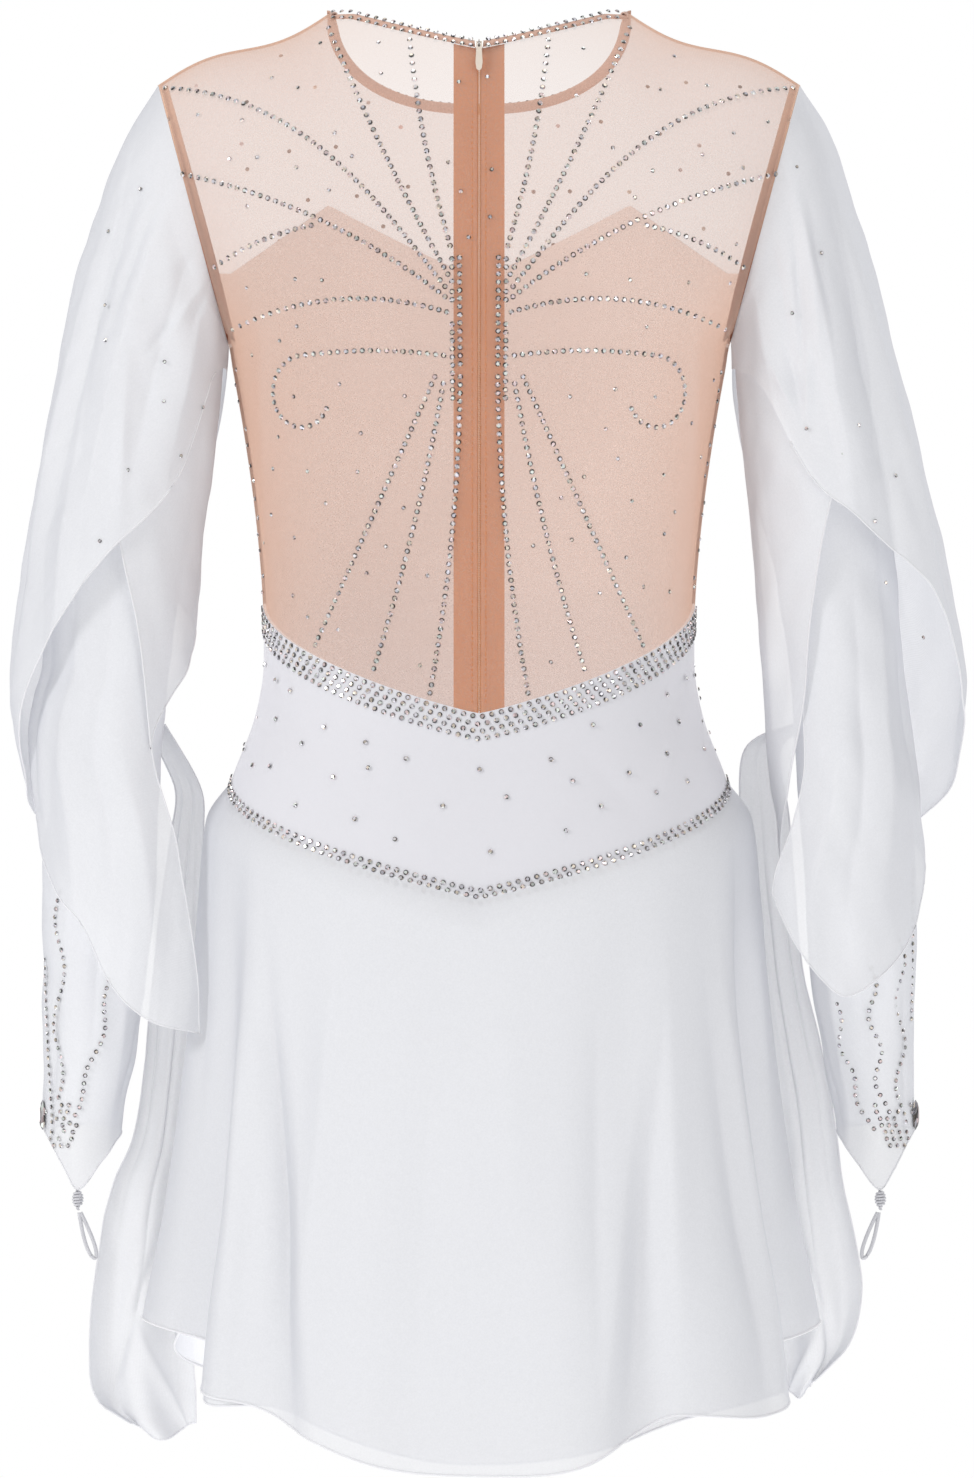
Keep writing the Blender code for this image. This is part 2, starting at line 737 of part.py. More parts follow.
def front_lining(front, cloth):
    """Make the lining under the front panel's own points, up to its heart-shaped top edge."""
    normals = panel_normals(front, "front")
    places = np.arange(0, front.shape[1], 2, dtype=float)
    places[0] = LINING_START
    fine = np.linspace(0, len(front) - 1, 200)[:, None]
    seen = on_grid(front, fine + 0 * places, places + 0 * fine)
    reached = seen[..., 2] >= lining_top(seen[..., 0])
    top = fine[np.argmax(reached, axis=0), 0]
    shared = np.arange(int(top.min()))[:, None] + 0.0 * places
    shared[0] = 0.1
    rise = np.linspace(0, 1, 4)[:, None]
    rows = np.concatenate([shared, shared[-1] + 1 + (top - shared[-1] - 1) * rise])
    at = places + 0 * rows
    face = on_grid(front, rows, at)
    turned = unit(on_grid(normals, rows, at))
    outer = face - turned * (WALL + 1.2 * SEAM)
    inner = outer - turned * LINING_THICK
    shell("front_lining", both_halves(outer), both_halves(inner), False, cloth)


def sweep(name, path, across, out, closed, finish):
    """Carry a four-cornered section along a path; across and out are its half sides."""
    corners = np.stack(
        [path - across - out, path + across - out, path + across + out, path - across + out],
        axis=1,
    )
    rows = len(path)
    faces = []
    for i in range(rows if closed else rows - 1):
        k = (i + 1) % rows
        for j in range(4):
            m = (j + 1) % 4
            faces.append((i * 4 + j, i * 4 + m, k * 4 + m, k * 4 + j))
    if not closed:
        faces.append((3, 2, 1, 0))
        end = (rows - 1) * 4
        faces.append((end, end + 1, end + 2, end + 3))
    return add_object(name, corners.reshape(-1, 3), faces, finish)


def neck_line(half, side):
    """Lay the binding's line over a half panel's neck edge, with its up and outward directions."""
    first = int(NECK_SHARE * (half.shape[1] - 1))
    edge = half[-1, first:]
    normals = panel_normals(half, side)[-1, first:]
    along = unit(np.gradient(edge, axis=0))
    along[0] = (0, facing(side), 0)
    along[-1] = (-1, 0, 0)
    up = unit(np.cross(normals, along))
    away = edge - half[-2, first:]
    up = up * np.sign(np.sum(up * away, axis=-1, keepdims=True))
    path = edge - normals * WALL / 2 + up * (NECK_EDGE / 2 + 2 * SEAM)
    return path, up * NECK_EDGE / 2, normals * BINDING_THICK / 2


def neck_bindings(back, front, cloth):
    """Make the binding over the neck edge, in two back pieces and one front piece."""
    line = neck_line(back, "back")
    for name, sign in (("neck_binding_back_left", -1), ("neck_binding_back_right", 1)):
        path, up, out = (mirrored(part, sign) for part in line)
        sweep(name, path, up, out, False, cloth)
    line = neck_line(front, "front")
    path, up, out = (np.concatenate([part, mirrored(part[-2::-1], -1)]) for part in line)
    sweep("neck_binding_front", path, up, out, False, cloth)


def armhole_bindings(back, front, cloth):
    """Make the seam allowance inside each armhole, from the panels' own edge points."""
    rows = len(back)
    first = int(np.ceil(SIDE_SHARE * (rows - 1)))
    loops = []
    for half, side in ((back, "back"), (front, "front")):
        edge = half[first:, 0]
        normals = panel_normals(half, side)[first:, 0]
        tangent = unit(np.gradient(edge, axis=0))
        tangent[0] = (0, -facing(side), 0)
        tangent[-1] = (0, facing(side), 0)
        inward = unit(np.cross(normals, tangent)) * facing(side)
        loops.append((edge, normals, inward))
    edge = np.concatenate([loops[0][0], loops[1][0][-2:0:-1]])
    normals = np.concatenate([loops[0][1], loops[1][1][-2:0:-1]])
    inward = np.concatenate([loops[0][2], loops[1][2][-2:0:-1]])
    wrong = np.sum(inward * np.array([-1.0, 0, -0.3]), axis=-1) < 0
    inward[wrong] *= -1
    edge[[0, rows - first - 1], 1] = 0.0
    depth = WALL + SEAM + ALLOWANCE_THICK / 2
    for name, sign in (("armhole_binding_left", -1), ("armhole_binding_right", 1)):
        path = mirrored(edge - normals * depth + inward * ALLOWANCE_MIDDLE, sign)
        across = mirrored(inward, sign) * ALLOWANCE_WIDTH / 2
        sweep(name, path, across, mirrored(normals, sign) * ALLOWANCE_THICK / 2, True, cloth)


def back_middle(z):
    """Give the outer surface along the middle of the back: its points and its normals."""
    z = np.asarray(z, float)
    step = 0.5
    heights = np.stack([z - step, z, z + step])
    depth = body_depth(np.zeros_like(heights), heights, np.zeros_like(heights), "back")
    points = np.stack([np.zeros_like(z), -depth[1] - SEAM / 2, z], axis=-1)
    slope = (depth[2] - depth[0]) / (2 * step)
    normals = unit(np.stack([np.zeros_like(z), -np.ones_like(z), -slope], axis=-1))
    return points, normals


def zip_fastener(back, copper):
    """Make the tapes, laid under the panels' own middle points, and the chain between them."""
    edge = back[:, -1:]
    step = back[:, -2:-1] - edge
    places = np.array([TAPE_INNER, ZIP_SLOT, TAPE_EDGE])[None, :, None]
    line = edge + step * (places - edge[..., :1]) / step[..., :1]
    normals = np.repeat(panel_normals(back, "back")[:, -1:], 3, axis=1)
    outer = line - normals * (WALL + 1.5 * SEAM)
    for name, sign in (("zip_tape_left", -1), ("zip_tape_right", 1)):
        face = mirrored(outer, sign)
        shell(name, face, face - mirrored(normals, sign) * TAPE_THICK, False, copper)
    middle = back[:, -1] * np.array([0, 1, 1])
    out = normals[:, 0]
    sink = WALL + 0.5 * SEAM - CHAIN_THICK / 2
    path = (middle - out * sink)[:-CHAIN_END]
    across = np.tile([CHAIN_HALF, 0, 0], (len(path), 1))
    sweep("zip_chain", path, across, out[:-CHAIN_END] * CHAIN_THICK / 2, False, copper)


def placer(hinge, out, down):
    """Give a function that places points by their across, outward and downward distances."""

    def place(across, outward, downward):
        """Give one point."""
        return hinge + np.array([across, 0, 0]) + out * outward + down * downward

    return place


def there_and_back(outline):
    """Go down one side of an outline and back up its mirror image."""
    return [(x, d) for x, d in outline] + [(-x, d) for x, d in outline[::-1]]


def slider_frame():
    """Give the hinge point, the outward direction and the downward direction at the slider."""
    point, normal = back_middle(np.array([HINGE_Z]))
    down = unit(np.cross(normal[0], (1.0, 0, 0)))
    down = down if down[2] < 0 else -down
    return point[0] + normal[0] * HINGE_HEIGHT, normal[0], down


def slider_and_pull(metal):
    """Make the slider with its arch, and the pull tab that turns on its top bar."""
    hinge, out, down = slider_frame()
    place = placer(hinge, out, down)
    ring = there_and_back(SLIDER_OUTLINE)
    points = [place(x, o, d) for o in (SLIDER_BACK, SLIDER_FRONT) for x, d in ring]
    count = len(ring)
    faces = [tuple(range(count)), tuple(range(2 * count - 1, count - 1, -1))]
    faces += [(i, (i + 1) % count, count + (i + 1) % count, count + i) for i in range(count)]
    slider = add_object("zip_slider", points, faces, metal)
    turns = np.linspace(-ARCH_OVERRUN, np.pi + ARCH_OVERRUN, 9)
    radius = (ARCH_OUTER + ARCH_INNER) / 2
    path = np.array([place(0, np.sin(a) * radius, -np.cos(a) * radius) for a in turns])
    radial = unit(path - hinge) * (ARCH_OUTER - ARCH_INNER) / 2
    foot_low = path[:1] - out * ARCH_FOOT
    foot_high = path[-1:] - out * ARCH_FOOT
    path = np.concatenate([foot_low, path, foot_high])
    radial = np.concatenate([radial[:1], radial, radial[-1:]])
    across = np.tile([ARCH_HALF, 0, 0], (len(path), 1))
    arch = sweep("zip_arch", path, across, radial, False, metal)
    arch.hide_render = True
    arch.display_type = "WIRE"
    join = slider.modifiers.new("arch", "BOOLEAN")
    join.operation = "UNION"
    join.solver = "EXACT"
    join.object = arch
    pull_tab(hinge, metal)


def pull_tab(hinge, metal):
    """Make the drop-shaped tab, with a hole under its top bar, lying against the back."""
    rest, normal = back_middle(np.array([HINGE_Z - 0.8 * PULL_LENGTH]))
    down = unit(rest[0] + normal[0] * PULL_REST - hinge)
    out = unit(np.cross((1.0, 0, 0), down))
    out = out if out[1] < 0 else -out
    place = placer(hinge, out, down)
    half = PULL_THICK / 2
    loops = [there_and_back(PULL_OUTLINE), there_and_back(PULL_HOLE)]
    count = len(loops[0])
    points = [place(x, o, d) for o in (-half, half) for loop in loops for x, d in loop]
    faces = []
    for i in range(count):
        k = (i + 1) % count
        faces.append((i, k, count + k, count + i))
        faces.append((2 * count + k, 2 * count + i, 3 * count + i, 3 * count + k))
        faces.append((k, i, 2 * count + i, 2 * count + k))
        faces.append((count + i, count + k, 3 * count + k, 3 * count + i))
    tab = add_object("zip_pull", points, faces, metal)
    tab.data.transform(Matrix.Translation((-hinge * MM).tolist()))
    tab.location = hinge * MM
    return tab


def basque(cloth):
    """Make the back and front of the hip yoke between its two dipping seams."""
    for name, side, count in (("basque_back", "back", 10), ("basque_front", "front", 9)):
        share = np.linspace(1, 0, count)[None, :]
        t = np.linspace(0, 1, 6)[:, None]
        top = waist_seam(share) - SEAM / 2
        bottom = hip_seam(share) + SEAM / 2
        z = top + (bottom - top) * t
        x = read(BODY, "z", "half_width", z) * ring_sine(share + 0 * z)
        y = facing(side) * (body_depth(x, z, share + 0 * z, side) + SEAM / 2)
        half = np.stack([x, y, z], axis=-1)
        normals = grid_normals(half, False, (0, 0, -430))
        normals[:, 0] = keep_in_plane(normals[:, 0], (0, 1, 0))
        normals[:, -1] = keep_in_plane(normals[:, -1], (1, 0, 0))
        inner = half - normals * WALL
        shell(name, both_halves(half), both_halves(inner), False, cloth)


def skirt_surface(angle, z):
    """Give the skirt's outer points: rings that flare, with folds that grow downwards."""
    turn = np.radians(np.asarray(angle, float))
    share = np.abs(np.arcsin(np.clip(np.sin(turn), -1, 1))) * 2 / np.pi
    behind = np.cos(turn) >= 0
    sizes = {}
    for name in ("half_width", "back", "front"):
        basque_size = read(BODY, "z", name, z)
        skirt_size = read(SKIRT, "z", name, z)
        drop = np.clip((hip_seam(share) - z) / SKIRT_BLEND, 0, 1)
        sizes[name] = basque_size + (skirt_size - basque_size) * drop * (2 - drop)
    depth = np.where(behind, sizes["back"], sizes["front"])
    x = sizes["half_width"] * ring_sine(share) * np.sign(np.sin(turn))
    y = -depth * ring_cosine(share) * np.sign(np.cos(turn))
    fold = np.zeros_like(x)
    for row in FOLDS:
        away = (np.asarray(angle, float) - row.angle + 180) % 360 - 180
        fold = fold + row.out * np.exp(-((away / row.width) ** 2))
    grown = np.clip((hip_seam(share) - z) / FOLD_LENGTH, 0, 1.2) ** 1.15
    away_x = np.sin(turn)
    away_y = -np.cos(turn)
    return np.stack([x + away_x * fold * grown, y + away_y * fold * grown, z], axis=-1)


def hem_level(table, angle):
    """Read a hem table round a full circle."""
    around = (np.asarray(angle, float) + 180) % 360 - 180
    return read(table, "angle", "z", around)


def skirt_share(angle):
    """Give the place round the body ring of an angle."""
    return np.abs(np.arcsin(np.clip(np.sin(np.radians(angle)), -1, 1))) * 2 / np.pi


def skirt_levels(angle, hem):
    """Give the heights of the skirt's rows; two layers share them all but the hem."""
    t = np.linspace(0, 1, 9)[:, None] ** 1.2
    top = hip_seam(skirt_share(angle)) - SEAM / 2
    z = top + (hem_level(SKIRT_HEM, angle) - top) * t
    z[-1] = hem_level(hem, angle)
    return z


def skirt(cloth):
    """Make the outer skirt in a back and a front, and the under skirt in one."""
    back = np.linspace(-90, 90, 41)
    front = np.linspace(90, 270, 27)
    for name, angle, toward in (("skirt_back", back, -1), ("skirt_front", front, 1)):
        z = skirt_levels(angle, SKIRT_HEM)
        outer = skirt_surface(angle + 0 * z, z)
        outer[..., 1] += toward * SEAM / 2
        normals = grid_normals(outer, False, (0, 0, -600))
        for edge in (0, -1):
            normals[:, edge] = keep_in_plane(normals[:, edge], (0, 1, 0))
        shell(name, outer, outer - normals * CHIFFON, False, cloth)
    angle = np.concatenate([back, front[1:-1]])
    z = skirt_levels(angle, UNDER_SKIRT_HEM)
    outer = skirt_surface(angle + 0 * z, z)
    normals = grid_normals(outer, True, (0, 0, -600))[UNDER_SKIRT_ROWS]
    outer[0] += (outer[1] - outer[0]) * UNDER_SKIRT_START
    outer = outer[UNDER_SKIRT_ROWS]
    outer = outer - normals * (CHIFFON + 2 * UNDER)
    shell("skirt_under", outer, outer - normals * CHIFFON, True, cloth)


def sleeve_point(table, angle, level, inset=0.0):
    """Give points of a ringed sleeve; level counts its rings, inset moves them inwards."""
    places = np.arange(len(table))
    values = {name: smooth(places, column(table, name), level) for name in Ring._fields}
    turn = np.radians(angle)
    run_x = values["x_out"] - values["x_in"]
    run_z = values["z_out"] - values["z_in"]
    length = np.sqrt(run_x**2 + run_z**2)
    reach = (length / 2 - inset) / length
    x = (values["x_out"] + values["x_in"]) / 2 + run_x * reach * np.cos(turn)
    z = (values["z_out"] + values["z_in"]) / 2 + run_z * reach * np.cos(turn)
    y = values["y_mid"] - (values["half_depth"] - inset) * np.sin(turn)
    return np.stack(np.broadcast_arrays(x, y, z), axis=-1)


def level_at(table, angle, z):
    """Find the ring level at which a sleeve reaches a height, for each angle."""
    levels = np.linspace(0, len(table) - 1, 121)
    angle, z = np.broadcast_arrays(np.asarray(angle, float), np.asarray(z, float))
    found = np.empty(angle.shape)
    for place in np.ndindex(angle.shape):
        heights = sleeve_point(table, angle[place], levels)[:, 2]
        found[place] = np.interp(-z[place], -heights, levels)
    return found


def sleeve_piece(name, side, table, angle, level, cloth, closed, inset=0.0, arm_seam=False):
    """Make one layer of a sleeve from angles and ring levels."""
    outer = sleeve_point(table, angle, level, inset)
    middle = (np.mean([r.x_out + r.x_in for r in table]) / 2, 5, outer[..., 2].mean())
    normals = grid_normals(outer, closed, middle)
    if arm_seam:
        share = (1 + np.cos(np.radians(angle[0]))) / 2
        normals[0] = keep_in_plane(normals[0], ARMHOLE_PLANE, share)
        outer[0] = outer[0] + ARMHOLE_PLANE * SEAM / 2
    outer = mirrored(outer, side.sign)
    inner = outer - mirrored(normals, side.sign) * CHIFFON
    shell(f"sleeve_{name}_{side.name}", outer, inner, closed, cloth)


def over_and_fitted(side, cloth):
    """Make the outer sleeve, and the fitted sleeve inside it in two parts, sewn above the elbow."""
    angle = CUFF_POINT + np.linspace(-180, 180, 17)[None, :-1]
    t = np.linspace(0, 1, 9)[:, None]
    bottom = level_at(side.sleeve, angle, hem_level(side.over_hem, angle))
    sleeve_piece("over", side, side.sleeve, angle + 0 * t, bottom * t, cloth, True, arm_seam=True)
    t = np.linspace(0, 1, 7)[:, None]
    level = (FITTED_SEAM - FITTED_SEAM_HALF) * t
    around = angle + 0 * t
    level = level + 0 * around
    sleeve_piece("fitted_upper", side, FITTED, around, level, cloth, True, arm_seam=True)
    t = np.linspace(0, 1, 10)[:, None]
    bottom = level_at(FITTED, angle, hem_level(CUFF_HEM, angle))
    start = FITTED_SEAM + FITTED_SEAM_HALF
    level = start + (bottom - start) * t
    sleeve_piece("fitted_lower", side, FITTED, angle + 0 * t, level, cloth, True)


def flap(side, cloth):
    """Make the inner flap, whose free edge slants the other way under the outer sleeve."""
    s = np.linspace(0, 1, 9)[None, :]
    t = np.linspace(0, 1, 8)[:, None]
    start = read(side.flap_edge, "down", "angle", t)
    angle = start + (side.flap_end - start) * s
    top = np.minimum(hem_level(side.over_hem, angle) + FLAP_TUCK, FLAP_TOP)
    z = top + (side.flap_bottom + FLAP_RISE * s**0.6 - top) * t
    level = level_at(side.sleeve, angle, z)
    sleeve_piece("flap", side, side.sleeve, angle, level, cloth, False, CHIFFON + FLAP_GAP)


def petal(side, cloth):
    """Make the petal that hangs from the fitted sleeve below the outer sleeve's hem."""
    angle = np.linspace(PETAL_START, PETAL_END, 12)[None, :]
    t = np.linspace(0, 1, 9)[:, None]
    bottom = level_at(side.petal, angle, hem_level(side.petal_hem, angle))
    sleeve_piece("petal", side, side.petal, angle + 0 * t, bottom * t, cloth, False)


def wing(side, cloth):
    """Make the wing that hangs from the inner side of the fitted sleeve."""
    s = np.linspace(0, 1, 7)[None, :]
    angle = WING_TOP_END + (WING_TOP_START - WING_TOP_END) * s
    top = sleeve_point(FITTED, angle, level_at(FITTED, angle, WING_TOP), -CHIFFON - UNDER)[0]
    rows = []
    span = side.wing[0].z - side.wing[-1].z
    for row in side.wing:
        start = np.array([row.x_out, row.y_out, row.z], float)
        end = np.array([row.x_in, row.y_in, row.z], float)
        line = start + (end - start) * s[0][:, None]
        drop = (side.wing[0].z - row.z) / span
        line[:, 1] += WING_WAVE * drop * np.sin(s[0] * 3 * np.pi)
        line[:, 2] += 5.0 * drop * np.cos(s[0] * np.pi * 2)
        rows.append(line)
    outer = np.concatenate([top[None], np.array(rows)])
    normals = grid_normals(outer, False, (200, 0, -500))
    outer = mirrored(outer, side.sign)
    inner = outer - mirrored(normals, side.sign) * CHIFFON
    shell(f"sleeve_wing_{side.name}", outer, inner, False, cloth)


def oval(name, centre, axes, turn, finish):
    """Make a small faceted oval; turn swings its flat side about +Z."""
    shape = bmesh.new()
    bmesh.ops.create_uvsphere(shape, u_segments=8, v_segments=5, radius=1.0)
    faces = [tuple(v.index for v in f.verts) for f in shape.faces]
    points = np.array([v.co for v in shape.verts]) * np.array(axes)
    shape.free()
    cosine, sine = np.cos(turn), np.sin(turn)
    spin = np.array([[cosine, sine, 0], [-sine, cosine, 0], [0, 0, 1]])
    return add_object(name, points @ spin + centre, faces, finish)


def cuff_trims(side, cloth, glass):
    """Make the oval stone on the cuff, and the knot and the finger loop at its point."""
    at = np.array([GEM_ANGLE])
    spot = sleeve_point(FITTED, at, level_at(FITTED, at, GEM_Z))[0]
    out = unit(np.array([np.cos(np.radians(GEM_ANGLE)), -np.sin(np.radians(GEM_ANGLE)), 0]))
    centre = mirrored(spot + out * (GEM[2] - SEAM), side.sign)
    facing_turn = -np.arctan2(out[1], out[0] * side.sign)
    oval(f"cuff_gem_{side.name}", centre, (GEM[2], GEM[0], GEM[1]), facing_turn, glass)
    at = np.array([CUFF_POINT])
    tip = sleeve_point(FITTED, at, level_at(FITTED, at, CUFF_TIP))[0]
    knot = tip + np.array([0, 0.5, -KNOT[2] - SEAM])
    oval(f"finger_knot_{side.name}", mirrored(knot, side.sign), KNOT, 0.0, cloth)
    turns = np.linspace(0, 2 * np.pi, 21)[:-1]
    height = (LOOP_TOP - LOOP_BOTTOM) / 2
    middle = (LOOP_TOP + LOOP_BOTTOM) / 2
    drop = (1 - np.cos(turns)) / 2
    width = LOOP_WIDTH / 2 * (0.3 + 0.7 * drop) * np.sin(turns)
    x = knot[0] - LOOP_LEAN * drop + width
    path = np.stack([x, np.full_like(x, knot[1]), middle + height * np.cos(turns)], axis=-1)
    along = unit(np.roll(path, -1, axis=0) - np.roll(path, 1, axis=0))
    deep = np.tile([0.0, 1.0, 0.0], (len(path), 1))
    out = unit(np.cross(along, deep))
    path = mirrored(path - np.array([0, 0, SEAM + 0.4]), side.sign)
    out = mirrored(out, side.sign) * LOOP_CORD
    sweep(f"finger_loop_{side.name}", path, deep * LOOP_CORD, out, True, cloth)


def main():
    """Clear the scene and build every piece of the dress."""
    for old in list(bpy.data.objects):
        bpy.data.objects.remove(old)
    skin = material("skin_mesh", SKIN_MESH, 0.7, alpha=0.6)
    lining = material("skin_lining", SKIN_LINING, 0.7)
    copper = material("copper_tape", COPPER, 0.6)
    white = material("white_stretch", WHITE, 0.65)
    chiffon = material("white_chiffon", WHITE, 0.7)
    metal = material("zip_metal", SILVER, 0.3, metallic=0.9)
    glass = material("cut_glass", SILVER, 0.1)
    back, front = bodice(skin, lining)
    neck_bindings(back, front, skin)
    armhole_bindings(back, front, copper)
    zip_fastener(back, copper)
    slider_and_pull(metal)
    basque(white)
    skirt(chiffon)
    sides = (
        Side("left", -1, SLEEVE_LEFT, OVER_HEM_LEFT, FLAP_EDGE_LEFT, FLAP_END_LEFT,
             FLAP_BOTTOM_LEFT, PETAL_LEFT, PETAL_HEM_LEFT, WING_LEFT),
        Side("right", 1, SLEEVE_RIGHT, OVER_HEM_RIGHT, FLAP_EDGE_RIGHT, FLAP_END_RIGHT,
             FLAP_BOTTOM_RIGHT, PETAL_RIGHT, PETAL_HEM_RIGHT, WING_RIGHT),
    )
    for side in sides:
        over_and_fitted(side, chiffon)
        flap(side, chiffon)
        petal(side, chiffon)
        wing(side, chiffon)
        cuff_trims(side, white, glass)


main()
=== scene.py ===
"""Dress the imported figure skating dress: fine cloth, hems, zip, stones, light and camera.

The zipped back faces -Y, the wearer's front faces +Y, and +Z is up. Tables are in millimetres in the
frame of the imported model, and meshes are built in metres.
"""

import logging
from dataclasses import dataclass
from enum import Enum
from typing import Sequence

import bmesh
import bpy
import numpy as np
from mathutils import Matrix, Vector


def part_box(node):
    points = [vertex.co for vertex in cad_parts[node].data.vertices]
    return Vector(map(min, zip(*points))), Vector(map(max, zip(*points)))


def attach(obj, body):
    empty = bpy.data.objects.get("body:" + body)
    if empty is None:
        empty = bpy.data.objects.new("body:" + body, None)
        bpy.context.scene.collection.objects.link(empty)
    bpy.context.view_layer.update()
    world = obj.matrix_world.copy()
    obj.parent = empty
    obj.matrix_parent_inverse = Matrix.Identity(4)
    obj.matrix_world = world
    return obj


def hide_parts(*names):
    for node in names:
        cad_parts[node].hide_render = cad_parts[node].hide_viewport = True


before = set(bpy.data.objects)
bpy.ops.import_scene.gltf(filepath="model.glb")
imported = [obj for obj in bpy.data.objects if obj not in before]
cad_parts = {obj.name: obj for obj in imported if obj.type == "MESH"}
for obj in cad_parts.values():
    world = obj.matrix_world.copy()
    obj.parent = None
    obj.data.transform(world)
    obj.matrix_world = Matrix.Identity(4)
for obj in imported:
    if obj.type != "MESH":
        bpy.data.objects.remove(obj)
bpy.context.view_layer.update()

Array = np.ndarray
Piece = bpy.types.Object
Material = bpy.types.Material
Socket = bpy.types.NodeSocket
MM = 0.001
HEM_RADIUS = 0.75
SLEEVE_HEM_RADIUS = 0.5
MIRROR = np.array([-1.0, 1.0, 1.0])
LOG = logging.getLogger("skating_dress")


class Face(Enum):
    """Which way a body piece looks: the sign of its y."""

    BACK = -1
    FRONT = 1


class Hand(Enum):
    """Which side of the photograph's middle a piece lies on: the sign of its x."""

    LEFT = -1
    RIGHT = 1

    @property
    def word(self) -> str:
        """Give the name's ending for this side."""
        return self.name.lower()


def rows_of(kind: type, rows: Sequence[tuple]) -> tuple:
    """Make a record of a kind from each row of a table, its values in the order of the kind's fields."""
    return tuple(kind(*row) for row in rows)


# Shared curves and vectors


def smooth(places: Sequence[float], values: Sequence[float], at: Array) -> Array:
    """Read a smooth curve through points: cubic pieces that are flat at each turning point.

    Args:
        places: where the curve's points lie.
        values: the curve's height at each.
        at: where to read it.
    Returns:
        The curve's height at each place of at.
    """
    places = np.asarray(places, float)
    values = np.asarray(values, float)
    order = np.argsort(places)
    places, values = places[order], values[order]
    chords = np.diff(values) / np.diff(places)
    slopes = np.concatenate([chords[:1], (chords[:-1] + chords[1:]) / 2, chords[-1:]])
    slopes[np.concatenate([[False], chords[:-1] * chords[1:] <= 0, [False]])] = 0
    at = np.clip(np.asarray(at, float), places[0], places[-1])
    i = np.clip(np.searchsorted(places, at) - 1, 0, len(places) - 2)
    step = places[i + 1] - places[i]
    u = (at - places[i]) / step
    rise = values[i] + (values[i + 1] - values[i]) * (3 * u**2 - 2 * u**3)
    return rise + slopes[i] * step * u * (1 - u) ** 2 - slopes[i + 1] * step * u**2 * (1 - u)


def smooth_rows(rows: Array, at: Array) -> Array:
    """Read between equally spaced rows of points with the cubic that passes through them all.

    Args:
        rows: an array whose first axis counts the rows.
        at: row places, fractions allowed.
    Returns:
        The rows at those places.
    """
    last = len(rows) - 1
    i = np.clip(at.astype(int), 0, last - 1)
    u = (at - i).reshape(-1, *[1] * (rows.ndim - 1))
    a, b = rows[i], rows[i + 1]
    before, after = rows[np.maximum(i - 1, 0)], rows[np.minimum(i + 2, last)]
    slope_a, slope_b = (b - before) / 2, (after - a) / 2
    cubic = (2 * u**3 - 3 * u**2 + 1) * a + (3 * u**2 - 2 * u**3) * b
    return cubic + (u**3 - 2 * u**2 + u) * slope_a + (u**3 - u**2) * slope_b


def unit(vectors: Array) -> Array:
    """Scale vectors to length one."""
    return vectors / np.maximum(np.linalg.norm(vectors, axis=-1, keepdims=True), 1e-9)


def grid_normals(points: Array, closed: bool, inside: Sequence[float]) -> Array:
    """Find a grid's normals from the cross product of its two directions, turned outwards.

    Args:
        points: a grid of points.
        closed: whether its columns go right round.
        inside: a point that the normals turn away from.
    Returns:
        One normal for each point.
    """
    down = np.gradient(points, axis=0)
    across = np.gradient(points, axis=1)
    if closed:
        across = (np.roll(points, -1, axis=1) - np.roll(points, 1, axis=1)) / 2
    normals = unit(np.cross(down, across))
    outward = np.sum(normals * (points - np.asarray(inside, float)), axis=-1).mean()
    return normals if outward > 0 else -normals


def mirrored(points: Array, hand: Hand) -> Array:
    """Turn points made at +X to the side that is asked for."""
    return points * np.array([hand.value, 1.0, 1.0])


def to_side(side: Array) -> Array:
    """Give what turns points made at +X to the side that each one's sign names."""
    return np.stack([side, 0 * side + 1, 0 * side + 1], axis=-1)


def both_halves(half: Array) -> Array:
    """Join a half grid with its mirror image, over the shared middle column."""
    return np.concatenate([half, (half * MIRROR)[:, -2::-1]], axis=1)


def crumple(points: Array, height: float, seed: int) -> Array:
    """Give a soft crumple: crossed sine waves of 14 to 60 mm, run through each other at random.

    Args:
        points: where it is wanted.
        height: how far it goes in or out.
        seed: the seed of the waves' directions.
    Returns:
        The height at each point.
    """
    chance = np.random.default_rng(seed)
    total = np.zeros(points.shape[:-1])
    bend = np.zeros(points.shape[:-1])
    for length in np.geomspace(60, 14, 12):
        way = chance.normal(size=3) * np.array([1.0, 1.0, 0.45])
        wave = 2 * np.pi * (points @ (way / np.linalg.norm(way))) / length + chance.uniform(0, 6.28)
        total = total + np.sin(wave + bend) * length / 60
        bend = 0.8 * np.sin(wave * 0.5)
    return total * height / 2.5


# Meshes from grids and lines


def lay_mesh(name: str, points: Array, faces: Sequence[Sequence[int]],
             uv: Array | None = None) -> Piece:
    """Make an object from millimetre points and faces, with a map in metres.

    Args:
        name: the object's name.
        points: the points, one row each.
        faces: the point numbers of each face.
        uv: a map place for each point, or None.
    Returns:
        The new object, at the origin.
    """
    mesh = bpy.data.meshes.new(name)
    faces = faces.tolist() if isinstance(faces, Array) else faces
    mesh.from_pydata((points.reshape(-1, 3) * MM).tolist(), [], faces)
    if uv is not None:
        loops = np.empty(len(mesh.loops), dtype=np.int32)
        mesh.loops.foreach_get("vertex_index", loops)
        layer = mesh.uv_layers.new(name="cloth_map")
        layer.data.foreach_set("uv", (uv.reshape(-1, 2)[loops] * MM).astype(np.float32).ravel())
    mesh.shade_smooth()
    made = bpy.data.objects.new(name, mesh)
    bpy.context.scene.collection.objects.link(made)
    return made


def quads(rows: int, columns: int, closed: bool) -> Array:
    """List a grid's quads, row by row.

    Args:
        rows: how many rows of points.
        columns: how many points in each.
        closed: whether each row joins up.
    Returns:
        Four point numbers for each quad.
    """
    i = np.arange(rows - 1)[:, None] * columns
    j = np.arange(columns if closed else columns - 1)[None, :]
    k = (j + 1) % columns
    return np.stack([i + j, i + columns + j, i + columns + k, i + k], axis=-1).reshape(-1, 4)


